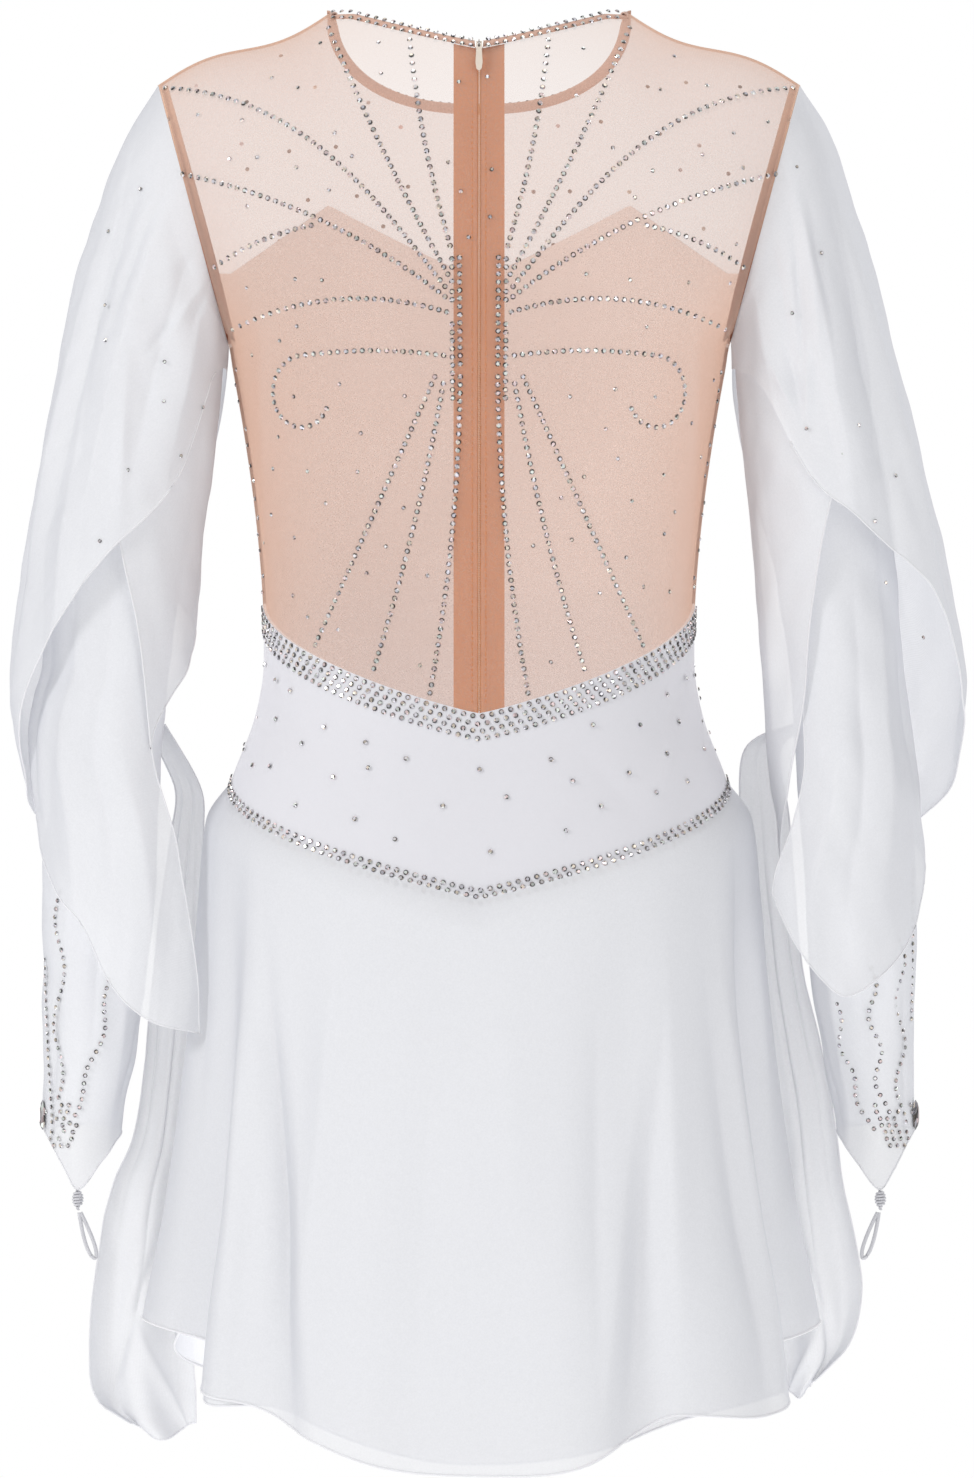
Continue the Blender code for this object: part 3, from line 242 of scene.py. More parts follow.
def cloth_map(points: Array) -> Array:
    """Measure a grid along its columns and rows, so that a weave keeps one size on it."""
    down = np.linalg.norm(np.diff(points, axis=0), axis=-1).mean(axis=1)
    across = np.linalg.norm(np.diff(points, axis=1), axis=-1).mean(axis=0)
    v = np.concatenate([[0], np.cumsum(down)])
    u = np.concatenate([[0], np.cumsum(across)])
    return np.stack(np.broadcast_arrays(u[None, :], v[:, None]), axis=-1)


def cloth(name: str, points: Array, normals: Array, closed: bool = False) -> Piece:
    """Make a sheet of cloth from a grid, its faces on the side that its normals show.

    Args:
        name: the object's name.
        points: a grid of points.
        normals: the outward normal at each.
        closed: whether it goes right round.
    Returns:
        The sheet.
    """
    rows, columns = points.shape[:2]
    faces = quads(rows, columns, closed)
    a, b, c = (points.reshape(-1, 3)[faces[:, i]] for i in (0, 1, 3))
    facing = np.sum(np.cross(b - a, c - a) * normals.reshape(-1, 3)[faces[:, 0]], axis=-1).sum()
    return lay_mesh(name, points, faces if facing > 0 else faces[:, ::-1], cloth_map(points))


def tube_points(path: Array, radius: float, sides: int, closed: bool) -> Array:
    """Place rings round a path: each is a circle across the path's direction.

    Args:
        path: points along the middle.
        radius: the tube's radius in millimetres.
        sides: points in each ring.
        closed: whether the path joins up.
    Returns:
        A grid of points, a row for each ring.
    """
    along = np.gradient(path, axis=0)
    if closed:
        along = np.roll(path, -1, axis=0) - np.roll(path, 1, axis=0)
    along = unit(along)
    seed = np.where(np.abs(along[:, 2:3]) < 0.8, [[0.0, 0, 1]], [[0.0, 1, 0]])
    first = unit(np.cross(along, seed))
    second = np.cross(along, first)
    turn = np.linspace(0, 2 * np.pi, sides, endpoint=False)[None, :, None]
    return path[:, None] + radius * (np.cos(turn) * first[:, None] + np.sin(turn) * second[:, None])


def tube(name: str, path: Array, radius: float, closed: bool = False, sides: int = 8) -> Piece:
    """Make a round tube along a path, with closed ends."""
    points = tube_points(path, radius, sides, closed)
    rows = len(points)
    faces = quads(rows, sides, True).tolist()
    if closed:
        last = (rows - 1) * sides
        faces += [[last + j, j, (j + 1) % sides, last + (j + 1) % sides] for j in range(sides)]
    else:
        faces += [list(range(sides)), list(range(rows * sides - 1, (rows - 1) * sides - 1, -1))]
    return lay_mesh(name, points, faces)


def join(name: str, pieces: Sequence[Piece]) -> Piece:
    """Join pieces into one object of that name."""
    bpy.ops.object.select_all(action="DESELECT")
    for piece in pieces:
        piece.select_set(True)
    bpy.context.view_layer.objects.active = pieces[0]
    if len(pieces) > 1:
        bpy.ops.object.join()
    pieces[0].name = name
    pieces[0].data.name = name
    return pieces[0]


# Shader groups and finishes


class NodeBench:
    """Places nodes in a tree and links them, by short calls."""

    def __init__(self, tree: bpy.types.NodeTree) -> None:
        """Keep the tree that nodes go into."""
        self.tree = tree

    def add(self, kind: str, **inputs: object) -> bpy.types.Node:
        """Add a node, setting its inputs by name from values or sockets.

        Args:
            kind: the node's type.
            inputs: socket names, with underscores for spaces, and what each gets.
        Returns:
            The node.
        """
        node = self.tree.nodes.new(kind)
        for key, value in inputs.items():
            self.put(node.inputs[key.replace("_", " ")], value)
        return node

    def put(self, socket: Socket, value: object) -> None:
        """Link a socket into another, or set its value."""
        if isinstance(value, Socket):
            self.tree.links.new(value, socket)
        else:
            socket.default_value = value

    def math(self, operation: str, *values: object) -> Socket:
        """Add a Math node over values or sockets, and give its output."""
        node = self.tree.nodes.new("ShaderNodeMath")
        node.operation = operation
        for socket, value in zip(node.inputs, values):
            self.put(socket, value)
        return node.outputs[0]

    def mix(self, share: object, first: object, second: object) -> Socket:
        """Mix two colours by a share, and give the output."""
        node = self.tree.nodes.new("ShaderNodeMix")
        node.data_type = "RGBA"
        for index, value in ((0, share), (6, first), (7, second)):
            self.put(node.inputs[index], value)
        return node.outputs[2]


def new_group(name: str, inputs: dict[str, float],
              outputs: Sequence[str]) -> tuple[bpy.types.NodeTree, dict, bpy.types.Node]:
    """Start a shader group with named float inputs and outputs.

    Args:
        name: the group's name.
        inputs: input names with their usual values.
        outputs: output names.
    Returns:
        The group's tree, its input sockets by name, and its output node.
    """
    tree = bpy.data.node_groups.new(name, "ShaderNodeTree")
    for label, value in inputs.items():
        socket = tree.interface.new_socket(label, in_out="INPUT", socket_type="NodeSocketFloat")
        socket.default_value = value
    for label in outputs:
        tree.interface.new_socket(label, in_out="OUTPUT", socket_type="NodeSocketFloat")
    given = tree.nodes.new("NodeGroupInput")
    result = tree.nodes.new("NodeGroupOutput")
    return tree, {socket.name: socket for socket in given.outputs}, result


def build_weave_group() -> bpy.types.NodeTree:
    """Build the weave: the higher of two crossed sine waves along the cloth map, with slub noise."""
    tree, given, result = new_group("cloth_weave", {"Threads": 900.0, "Slub": 0.3}, ["Thread", "Height"])
    bench = NodeBench(tree)
    place = bench.add("ShaderNodeUVMap")
    place.uv_map = "cloth_map"
    split = bench.add("ShaderNodeSeparateXYZ", Vector=place.outputs[0])
    waves = []
    for axis in (0, 1):
        turned = bench.math("MULTIPLY", split.outputs[axis], given["Threads"])
        waves.append(bench.math("ABSOLUTE", bench.math("SINE", bench.math("MULTIPLY", turned, np.pi))))
    thread = bench.math("MAXIMUM", waves[0], waves[1])
    noise = bench.add("ShaderNodeTexNoise", Vector=place.outputs[0], Scale=260.0, Detail=3.0)
    slub = bench.math("MULTIPLY", bench.math("SUBTRACT", noise.outputs[0], 0.5), given["Slub"])
    bench.put(result.inputs["Thread"], bench.math("ADD", thread, slub))
    bench.put(result.inputs["Height"], bench.math("ADD", bench.math("MULTIPLY", thread, 0.5), slub))
    return tree


def build_mottle_group() -> bpy.types.NodeTree:
    """Build the mottle: broad and fine noise in the object's own space, for uneven dye and crepe."""
    tree, given, result = new_group("cloth_mottle", {"Broad": 14.0, "Fine": 900.0}, ["Shade", "Height"])
    bench = NodeBench(tree)
    place = bench.add("ShaderNodeTexCoord")
    broad = bench.add("ShaderNodeTexNoise", Vector=place.outputs["Object"], Scale=given["Broad"], Detail=2.0)
    fine = bench.add("ShaderNodeTexNoise", Vector=place.outputs["Object"], Scale=given["Fine"], Detail=2.0)
    bench.put(result.inputs["Shade"], bench.math("MULTIPLY_ADD", fine.outputs[0], 0.6,
                                                 bench.math("MULTIPLY", broad.outputs[0], 0.4)))
    bench.put(result.inputs["Height"], fine.outputs[0])
    return tree


def build_streak_group() -> bpy.types.NodeTree:
    """Build the streaks: noise drawn out upwards, for a woven tape, in the object's own space."""
    tree, given, result = new_group("tape_streaks", {"Across": 1400.0, "Along": 70.0}, ["Shade"])
    bench = NodeBench(tree)
    place = bench.add("ShaderNodeTexCoord")
    scale = bench.tree.nodes.new("ShaderNodeCombineXYZ")
    for index, value in ((0, given["Across"]), (1, given["Across"]), (2, given["Along"])):
        bench.put(scale.inputs[index], value)
    drawn = bench.tree.nodes.new("ShaderNodeVectorMath")
    drawn.operation = "MULTIPLY"
    bench.put(drawn.inputs[0], place.outputs["Object"])
    bench.put(drawn.inputs[1], scale.outputs[0])
    noise = bench.add("ShaderNodeTexNoise", Vector=drawn.outputs[0], Scale=1.0, Detail=3.0)
    bench.put(result.inputs["Shade"], noise.outputs[0])
    return tree


class Workshop:
    """Holds the shared shader groups and starts each material."""

    def __init__(self) -> None:
        """Build the groups once."""
        self.weave = build_weave_group()
        self.mottle = build_mottle_group()
        self.streaks = build_streak_group()

    def start(self, name: str) -> tuple[Material, NodeBench, bpy.types.Node]:
        """Make a material with its Principled shader."""
        made = bpy.data.materials.new(name)
        made.use_nodes = True
        made.cycles.emission_sampling = "NONE"
        return made, NodeBench(made.node_tree), made.node_tree.nodes["Principled BSDF"]

    def group(self, bench: NodeBench, tree: bpy.types.NodeTree, **inputs: float) -> bpy.types.Node:
        """Place a shared group in a material with its own values."""
        node = bench.tree.nodes.new("ShaderNodeGroup")
        node.node_tree = tree
        for key, value in inputs.items():
            node.inputs[key].default_value = value
        return node


@dataclass(frozen=True)
class ClothFinish:
    """A woven or knitted cloth.

    Args:
        name: the material's name.
        light: its colour between the threads' shadows.
        dark: its colour in them.
        roughness: how matt it is.
        alpha: how much it hides, where one value serves all over.
        alpha_swing: how far the weave and mottle change that.
        threads: threads to the metre.
        bump: the weave's height in metres.
        sheen: the soft shine at grazing angles.
        glow: the light that passes through thin cloth, as a faint glow.
        inner_glow: the same on its inner face, which is seen against the light.
        edge: its colour where it is seen at a grazing angle, if that differs: the denser weave seen edgewise
            on a mesh, painted shade on the sides of the lining and the chiffon.
        edge_cover: how much more it hides there.
        edge_power: how late the edge's colour sets in.
        streak: how much upward streaks count in its shade.
        underarm_shade: its colour low down, painted shade where the seams run under the arms.
    """

    name: str
    light: tuple[float, float, float]
    dark: tuple[float, float, float]
    roughness: float = 0.8
    alpha: float = 1.0
    alpha_swing: float = 0.0
    threads: float = 1100.0
    bump: float = 0.00004
    sheen: float = 0.2
    glow: float = 0.0
    inner_glow: float = 0.0
    edge: tuple[float, float, float] | None = None
    edge_cover: float = 0.0
    edge_power: float = 1.6
    streak: float = 0.0
    underarm_shade: tuple[float, float, float] | None = None

    def build(self, shop: Workshop) -> Material:
        """Build the material: weave, mottle and angle of view drive its colour, cover and bump."""
        made, bench, shader = shop.start(self.name)
        weave = shop.group(bench, shop.weave, Threads=self.threads, Slub=0.35)
        mottle = shop.group(bench, shop.mottle)
        shade = bench.math("MULTIPLY_ADD", weave.outputs["Thread"], 0.45,
                           bench.math("MULTIPLY", mottle.outputs["Shade"], 0.55))
        if self.streak:
            drawn = shop.group(bench, shop.streaks)
            shade = bench.math("MULTIPLY_ADD", drawn.outputs["Shade"], self.streak,
                               bench.math("MULTIPLY", shade, 1 - self.streak))
        colour = bench.mix(shade, (*self.dark, 1.0), (*self.light, 1.0))
        # painted shade: from 40 mm to 140 mm down the colour darkens to the near-black brown of the shade
        # under the arms
        if self.underarm_shade:
            place = bench.add("ShaderNodeTexCoord")
            height = bench.add("ShaderNodeSeparateXYZ", Vector=place.outputs["Object"])
            fall = bench.math("MULTIPLY_ADD", height.outputs["Z"], -10.0, -0.4)
            colour = bench.mix(bench.math("MINIMUM", bench.math("MAXIMUM", fall, 0.0), 1.0), colour,
                               (*self.underarm_shade, 1.0))
        grazing = bench.add("ShaderNodeLayerWeight", Blend=0.5)
        turned = bench.math("POWER", grazing.outputs["Facing"], self.edge_power)
        # grazing colour: the denser weave on the mesh, painted shade on the lining and the chiffon, whose
        # sides turn away from the light
        if self.edge:
            colour = bench.mix(turned, colour, (*self.edge, 1.0))
        bench.put(shader.inputs["Base Color"], colour)
        rough = bench.math("MULTIPLY_ADD", mottle.outputs["Shade"], 0.12, self.roughness - 0.06)
        bench.put(shader.inputs["Roughness"], rough)
        height = bench.math("MULTIPLY_ADD", mottle.outputs["Height"], 0.6, weave.outputs["Height"])
        bump = bench.add("ShaderNodeBump", Height=height, Distance=self.bump, Strength=0.6)
        bench.put(shader.inputs["Normal"], bump.outputs[0])
        shader.inputs["Sheen Weight"].default_value = self.sheen
        shader.inputs["Sheen Roughness"].default_value = 0.5
        shader.inputs["Specular IOR Level"].default_value = 0.25
        shader.inputs["Alpha"].default_value = self.alpha
        if self.glow:
            side = bench.add("ShaderNodeNewGeometry")
            outer = tuple(part * self.glow for part in self.light)
            inner = tuple(part * max(self.inner_glow, self.glow) for part in self.light)
            lit = bench.mix(side.outputs["Backfacing"], (*outer, 1.0), (*inner, 1.0))
            bench.put(shader.inputs["Emission Color"], lit)
            shader.inputs["Emission Strength"].default_value = 1.0
        if self.alpha_swing:
            cover = bench.math("MULTIPLY_ADD", shade, self.alpha_swing, self.alpha - self.alpha_swing / 2)
            cover = bench.math("MULTIPLY_ADD", turned, self.edge_cover, cover)
            bench.put(shader.inputs["Alpha"], cover)
        return made


@dataclass(frozen=True)
class HardFinish:
    """A metal or enamel part with fine wear.

    Args:
        name: the material's name.
        colour: its clean colour.
        worn: its colour where it is rubbed.
        metallic: 1 for bare metal.
        roughness: how matt it is.
    """

    name: str
    colour: tuple[float, float, float]
    worn: tuple[float, float, float]
    metallic: float
    roughness: float

    def build(self, shop: Workshop) -> Material:
        """Build the material: mottle drives its wear, roughness and a slight bump."""
        made, bench, shader = shop.start(self.name)
        mottle = shop.group(bench, shop.mottle, Broad=300.0, Fine=4000.0)
        bench.put(shader.inputs["Base Color"],
                  bench.mix(mottle.outputs["Shade"], (*self.colour, 1.0), (*self.worn, 1.0)))
        rough = bench.math("MULTIPLY_ADD", mottle.outputs["Shade"], 0.2, self.roughness - 0.1)
        bench.put(shader.inputs["Roughness"], rough)
        bump = bench.add("ShaderNodeBump", Height=mottle.outputs["Height"], Distance=0.00001, Strength=0.4)
        bench.put(shader.inputs["Normal"], bump.outputs[0])
        shader.inputs["Metallic"].default_value = self.metallic
        return made


@dataclass(frozen=True)
class StoneFinish:
    """Foil-backed cut glass whose facets each carry a painted reflection of their own, with a painted
    highlight on the flat top.

    Args:
        name: the material's name.
        roughness: how sharp its reflections are.
        metallic: how much of the foil shows.
    """

    name: str
    roughness: float = 0.12
    metallic: float = 0.55

    def build(self, shop: Workshop) -> Material:
        """Build the material: the painted reflections of the facets and the painted highlight on the top come
        from the mesh's own attribute.
        """
        made, bench, shader = shop.start(self.name)
        # painted reflections and highlight, read from the stones' colour attribute
        tint = bench.add("ShaderNodeVertexColor")
        tint.layer_name = "facet"
        bench.put(shader.inputs["Base Color"], tint.outputs["Color"])
        mottle = shop.group(bench, shop.mottle, Broad=500.0, Fine=5000.0)
        bench.put(shader.inputs["Roughness"],
                  bench.math("MULTIPLY_ADD", mottle.outputs["Shade"], 0.1, self.roughness))
        shader.inputs["Metallic"].default_value = self.metallic
        shader.inputs["Coat Weight"].default_value = 0.5
        return made


class Finishes:
    """Every finish of the dress, built once."""

    def __init__(self, shop: Workshop) -> None:
        """Build the materials with their values."""
        skin, shade = (0.80, 0.60, 0.52), (0.62, 0.42, 0.33)
        self.mesh = ClothFinish("skin_mesh", skin, shade, 0.75, 0.30, 0.24, 1300.0, 0.00003, 0.1,
                                0.02, 0.05, (0.78, 0.50, 0.36), 0.35).build(shop)
        # painted shade: the lining's deep orange edge colour darkens its sides
        self.lining = ClothFinish("skin_lining", (0.96, 0.85, 0.79), (0.89, 0.76, 0.69), 0.8, threads=1500.0,
                                  glow=0.05, edge=(0.86, 0.52, 0.34)).build(shop)
        self.binding = ClothFinish("skin_binding", (0.72, 0.47, 0.37), (0.60, 0.36, 0.27), 0.75,
                                   threads=1600.0).build(shop)
        self.copper = ClothFinish("copper_tape", (0.86, 0.38, 0.13), (0.54, 0.15, 0.03), 0.7, threads=1800.0,
                                  streak=0.6).build(shop)
        self.stretch = ClothFinish("white_stretch", (0.79, 0.785, 0.82), (0.70, 0.695, 0.73), 0.7,
                                   threads=2200.0, glow=0.02).build(shop)
        # painted shade: the chiffon's darker edge colour darkens it where it turns away at the sides
        self.chiffon = ClothFinish("white_chiffon", (0.86, 0.865, 0.885), (0.76, 0.765, 0.785), 0.8, 0.76,
                                   0.16, 1700.0, 0.00006, 0.2,
                                   0.04, 0.26, (0.56, 0.57, 0.61), 0.20, 1.1).build(shop)
        self.hem = ClothFinish("white_hem", (0.90, 0.90, 0.92), (0.78, 0.78, 0.80), 0.75, threads=1800.0,
                               glow=0.03).build(shop)
        # the seam's near-black colour low down is painted shade under the arms
        self.seam = ClothFinish("seam_allowance", (0.84, 0.58, 0.44), (0.70, 0.42, 0.28), 0.7, threads=1800.0,
                                streak=0.4,
                                underarm_shade=(0.20, 0.045, 0.01)).build(shop)
        self.coil = ClothFinish("zip_coil", (0.86, 0.52, 0.33), (0.72, 0.38, 0.2), 0.6,
                                threads=1800.0).build(shop)
        self.thread = ClothFinish("white_thread", (0.80, 0.80, 0.82), (0.60, 0.60, 0.63), 0.7,
                                  threads=3000.0).build(shop)
        self.metal = HardFinish("zip_metal", (0.72, 0.70, 0.68), (0.50, 0.48, 0.46), 0.9, 0.32).build(shop)
        self.enamel = HardFinish("cream_enamel", (0.80, 0.72, 0.62), (0.66, 0.56, 0.46), 0.1, 0.35).build(shop)
        self.stone = StoneFinish("cut_glass").build(shop)


def finish(piece: Piece, material: Material,
           body: str = "dress") -> Piece:
    """Give a piece its material and the body that it rides on."""
    piece.data.materials.clear()
    piece.data.materials.append(material)
    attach(piece, body)
    return piece


def declare(piece: Piece, node: str, material: Material, slot: str, held: str,
            flat: tuple[float, float], area: float, **more: object) -> Piece:
    """Put a sheet of cloth in place of its solid, with its material and the body that it rides on.

    Args:
        piece: the sheet.
        node: the solid that it stands for.
        material: its material.
        slot: not used.
        held: not used.
        flat: not used.
        area: not used.
        more: not used.
    Returns:
        The sheet.
    """
    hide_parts(node)
    finish(piece, material)
    return piece


# The body form


@dataclass(frozen=True)
class Ring:
    """One level of the body or skirt: its half width, and its depth behind and before the seams."""

    z: float
    half_width: float
    back: float
    front: float


BODY = rows_of(Ring, (
    (40, 250, 55, 48), (21, 243, 63, 55), (0, 233, 75, 66), (-22, 225, 84, 75), (-60, 205, 95, 88),
    (-100, 186, 102, 99), (-140, 167, 105, 109), (-174, 149, 104, 113), (-190, 146, 102, 113),
    (-230, 139, 96, 104), (-281, 132, 88, 91), (-330, 128, 83, 83), (-364, 127.5, 85, 83),
    (-397, 133, 91, 86), (-435, 147, 100, 91), (-470, 154, 108, 94), (-502, 160, 113, 97),
))


@dataclass(frozen=True)
class Crease:
    """A soft fold in a piece's own map.

    Args:
        across: where its middle lies across the piece.
        down: where its middle lies down the piece.
        slant: how far it moves across for each step down.
        width: its half width across.
        length: its half length down.
        height: how far it stands out in millimetres; a trough is negative.
    """

    across: float
    down: float
    slant: float
    width: float
    length: float
    height: float


def creased(creases: Sequence[Crease], across: Array, down: Array) -> Array:
    """Add up creases: each is a bell across its slanted line times a bell along it.

    Args:
        creases: the folds.
        across: the places across the piece.
        down: the places down the piece.
    Returns:
        The height to move each point out.
    """
    height = np.zeros(np.broadcast(across, down).shape)
    for fold in creases:
        off = (across - fold.across - fold.slant * (down - fold.down)) / fold.width
        along = (down - fold.down) / fold.length
        bell = np.exp(-(off**2) - along**2)
        height = height + fold.height * bell * (0.7 + 0.3 * np.exp(-np.abs(off) * 3.0))
    return height


@dataclass
class BodyForm:
    """The general figure that the bodice, basque and skirt are filled out by."""

    power: float = 2.3
    neck_half: float = 88.0
    neck_top: float = 21.0
    tip_half: float = 190.0
    tip_top: float = -22.0
    shoulder_curve: float = 4.0
    underarm_half: float = 149.0
    underarm_top: float = -174.0
    armhole_depth: float = 50.0
    crest: float = 45.0
    shoulder_round: float = 90.0
    back_neck_middle: float = 3.0
    front_neck_middle: float = -31.0
    waist_middle: float = -394.0
    waist_rise: float = 65.0
    hip_middle: float = -502.0
    hip_rise: float = 67.0

    def size(self, name: str, z: Array) -> Array:
        """Read one column of the body table smoothly at heights."""
        return smooth([row.z for row in BODY], [getattr(row, name) for row in BODY], z)

    def sine(self, share: Array) -> Array:
        """Give a ring's sideways share: sine of the share of a quarter turn, to the power 2/p."""
        return np.sin(np.clip(share, 0, 1) * np.pi / 2) ** (2 / self.power)

    def cosine(self, share: Array) -> Array:
        """Give a ring's depth share: cosine of the share of a quarter turn, to the power 2/p."""
        return np.maximum(np.cos(np.clip(share, 0, 1) * np.pi / 2), 0) ** (2 / self.power)

    def share(self, sideways: Array) -> Array:
        """Turn a sideways share back into a place round the ring."""
        return np.arcsin(np.clip(sideways, 0, 1) ** (self.power / 2)) * 2 / np.pi

    def shoulder_line(self, x: Array) -> Array:
        """Give the height of the shoulder seam: a fall with one shallow wave, and a crest between."""
        fall = np.clip((x - self.neck_half) / (self.tip_half - self.neck_half), 0, 1)
        curve = self.shoulder_curve * np.sin(2 * np.pi * fall)
        seam = self.neck_top + (self.tip_top - self.neck_top) * fall - curve
        toward_neck = (np.clip(x, 0, self.neck_half) / self.neck_half) ** 1.5
        crest = self.crest - (self.crest - self.neck_top) * toward_neck
        return np.where(x > self.neck_half, seam, crest)

    def neck(self, x: Array, face: Face) -> Array:
        """Give the neck edge's height: a shallow power curve behind, a rounded scoop before."""
        if face is Face.BACK:
            rise = np.minimum(x / self.neck_half * 1.16, 1.0) ** 1.15
            return self.back_neck_middle + (self.neck_top - self.back_neck_middle) * rise
        scoop = np.sqrt(np.clip(1 - (x / self.neck_half) ** 2.4, 0, 1))
        return self.neck_top - (self.neck_top - self.front_neck_middle) * scoop

    def waist_seam(self, share: Array) -> Array:
        """Give the waist seam's height, which rises evenly from the middle to the side."""
        return self.waist_middle + self.waist_rise * np.clip(share, 0, 1)

    def hip_seam(self, share: Array) -> Array:
        """Give the hip seam's height, which rises from the middle to the side."""
        return self.hip_middle + self.hip_rise * np.clip(share, 0, 1) ** 0.95

    def depth(self, x: Array, z: Array, share: Array, face: Face) -> Array:
        """Give the depth: the ring's, rounded off by a quarter circle under the shoulder line."""
        ring = self.size("back" if face is Face.BACK else "front", z)
        drop = np.clip((self.shoulder_line(x) - z) / self.shoulder_round, 0, 1)
        return ring * self.cosine(share) * np.sqrt(1 - (1 - drop) ** 2)

    def armhole(self, angle: Array) -> tuple[Array, Array, Array]:
        """Give x, depth and z round the armhole's ellipse: 0 at the shoulder tip, pi underarm."""
        x = (self.tip_half + self.underarm_half + (self.tip_half - self.underarm_half) * np.cos(angle)) / 2
        z = (self.tip_top + self.underarm_top + (self.tip_top - self.underarm_top) * np.cos(angle)) / 2
        return x, self.armhole_depth * np.sin(angle), z

    def on_back(self, x: Array, z: Array, face: Face = Face.BACK) -> tuple[Array, Array]:
        """Find the surface at x and z seen straight on, with its normal by small steps.

        Args:
            x: places across.
            z: heights.
            face: the back or the front.
        Returns:
            The points and their outward normals.
        """
        step = 0.5

        def at(dx: float, dz: float) -> Array:
            """Give the surface point a small step away."""
            px, pz = x + dx, z + dz
            side = np.abs(px)
            share = self.share(side / self.size("half_width", pz))
            return np.stack([px, face.value * self.depth(side, pz, share, face), pz], axis=-1)

        normal = unit(np.cross(at(step, 0) - at(-step, 0), at(0, step) - at(0, -step)))
        return at(0, 0), normal * np.sign(normal[..., 1:2] * face.value)


SIDE_SHARE = 0.42
NECK_SHARE = 0.4
BINDING_HEIGHT = 4.0


@dataclass
class Bodice:
    """The mesh back panels and front panel, the lining, the bindings and the side seams.

    Args:
        form: the figure it is filled out by.
        finishes: the materials.
        rows: rows of points down a panel.
        columns: columns of points over half of it.
        zip_half: half the slot between the back panels.
        facing_width: the width of the facing along the lining's top edge.
        back_creases: folds of the back, across as a ring share and down in millimetres.
        front_creases: the same for the front.
    """

    form: BodyForm
    finishes: Finishes
    rows: int = 91
    columns: int = 61
    zip_half: float = 1.0
    facing_width: float = 8.5
    back_creases: tuple[Crease, ...] = rows_of(Crease, (
        (0.10, -150, 0.0010, 0.05, 60, -1.8), (0.24, -120, 0.0016, 0.06, 70, 1.4),
        (0.55, -330, -0.0012, 0.07, 45, 1.2), (0.35, -345, 0.0015, 0.06, 40, -1.3),
        (0.16, -300, 0.0008, 0.05, 55, 1.2), (0.72, -310, 0.0006, 0.05, 60, -0.9),
    ))
    front_creases: tuple[Crease, ...] = rows_of(Crease, (
        (0.12, -160, 0.0012, 0.05, 55, -1.6), (0.28, -210, 0.0016, 0.06, 60, 1.5),
        (0.30, -340, -0.0012, 0.06, 45, -1.2), (0.60, -345, 0.0010, 0.07, 40, 1.1),
        (0.80, -300, 0.0005, 0.06, 60, -0.8),
    ))

    def half_panel(self, middle: float, face: Face) -> Array:
        """Lay out half a panel: a blend of its four edge curves in ring share and height.

        Args:
            middle: x of its inner edge.
            face: back or front.
        Returns:
            A grid from the side seam and armhole (first column) to the middle, waist row first.
        """
        form = self.form
        s = np.linspace(0, 1, self.columns)[None, :]
        t = np.linspace(0, 1, self.rows)[:, None]
        below = np.clip(t[:, 0] / SIDE_SHARE, 0, 1)
        turn = np.pi * (1 - np.clip((t[:, 0] - SIDE_SHARE) / (1 - SIDE_SHARE), 0, 1))
        arm_x, arm_y, arm_z = form.armhole(turn)
        start = form.waist_seam(1.0)
        on_side = t[:, 0] < SIDE_SHARE
        left_z = np.where(on_side, start + (form.underarm_top - start) * below, arm_z)
        left_x = np.where(on_side, form.size("half_width", left_z), arm_x)
        left_w = np.where(on_side, 1.0, form.share(left_x / form.size("half_width", left_z)))
        neck_turn = np.cos(np.pi / 2 * (s[0] - NECK_SHARE) / (1 - NECK_SHARE))
        along = form.tip_half + (form.neck_half - form.tip_half) * s[0] / NECK_SHARE
        top_x = np.where(s[0] < NECK_SHARE, along, middle + (form.neck_half - middle) * neck_turn)
        under = form.neck(top_x, face) - BINDING_HEIGHT * (top_x < form.neck_half)
        top_z = np.where(s[0] <= NECK_SHARE, form.shoulder_line(top_x), under)
        top_w = form.share(top_x / form.size("half_width", top_z))
        bottom_w = 1 - s[0]
        bottom_w[-1] = form.share(middle / form.size("half_width", form.waist_middle))
        bottom_z = form.waist_seam(bottom_w)
        right_z = bottom_z[-1] + (top_z[-1] - bottom_z[-1]) * (1 - (1 - t[:, 0]) ** 1.5)
        right_w = form.share(middle / form.size("half_width", right_z))
        w = self.blend(s, t, left_w, right_w, bottom_w, top_w)
        z = self.blend(s, t, left_z, right_z, bottom_z, top_z)
        x = form.size("half_width", z) * form.sine(w)
        x[:, -1] = middle
        depth = form.depth(x, z, w, face)
        miss = np.where(on_side, 0.0, arm_y - depth[:, 0])
        depth = depth + miss[:, None] * (1 - s) ** 3
        points = np.stack([x, face.value * depth, z], axis=-1)
        normals = grid_normals(points, False, (0, 0, points[..., 2].mean()))
        creases = self.back_creases if face is Face.BACK else self.front_creases
        fade = np.clip(np.minimum(s, 1 - s) * 8, 0, 1) * np.clip((1 - t) * 6, 0, 1) * np.clip(t * 8, 0, 1)
        return points + normals * (creased(creases, 1 - w, z) * fade)[..., None]

    def blend(self, s: Array, t: Array, left: Array, right: Array,
              bottom: Array, top: Array) -> Array:
        """Fill between four edges: both ruled surfaces less the bilinear one of the corners."""
        corners = (1 - s) * (1 - t) * bottom[:1] + s * (1 - t) * bottom[-1:]
        corners = corners + (1 - s) * t * top[:1] + s * t * top[-1:]
        ruled = (1 - s) * left[:, None] + s * right[:, None] + (1 - t) * bottom + t * top
        return ruled - corners

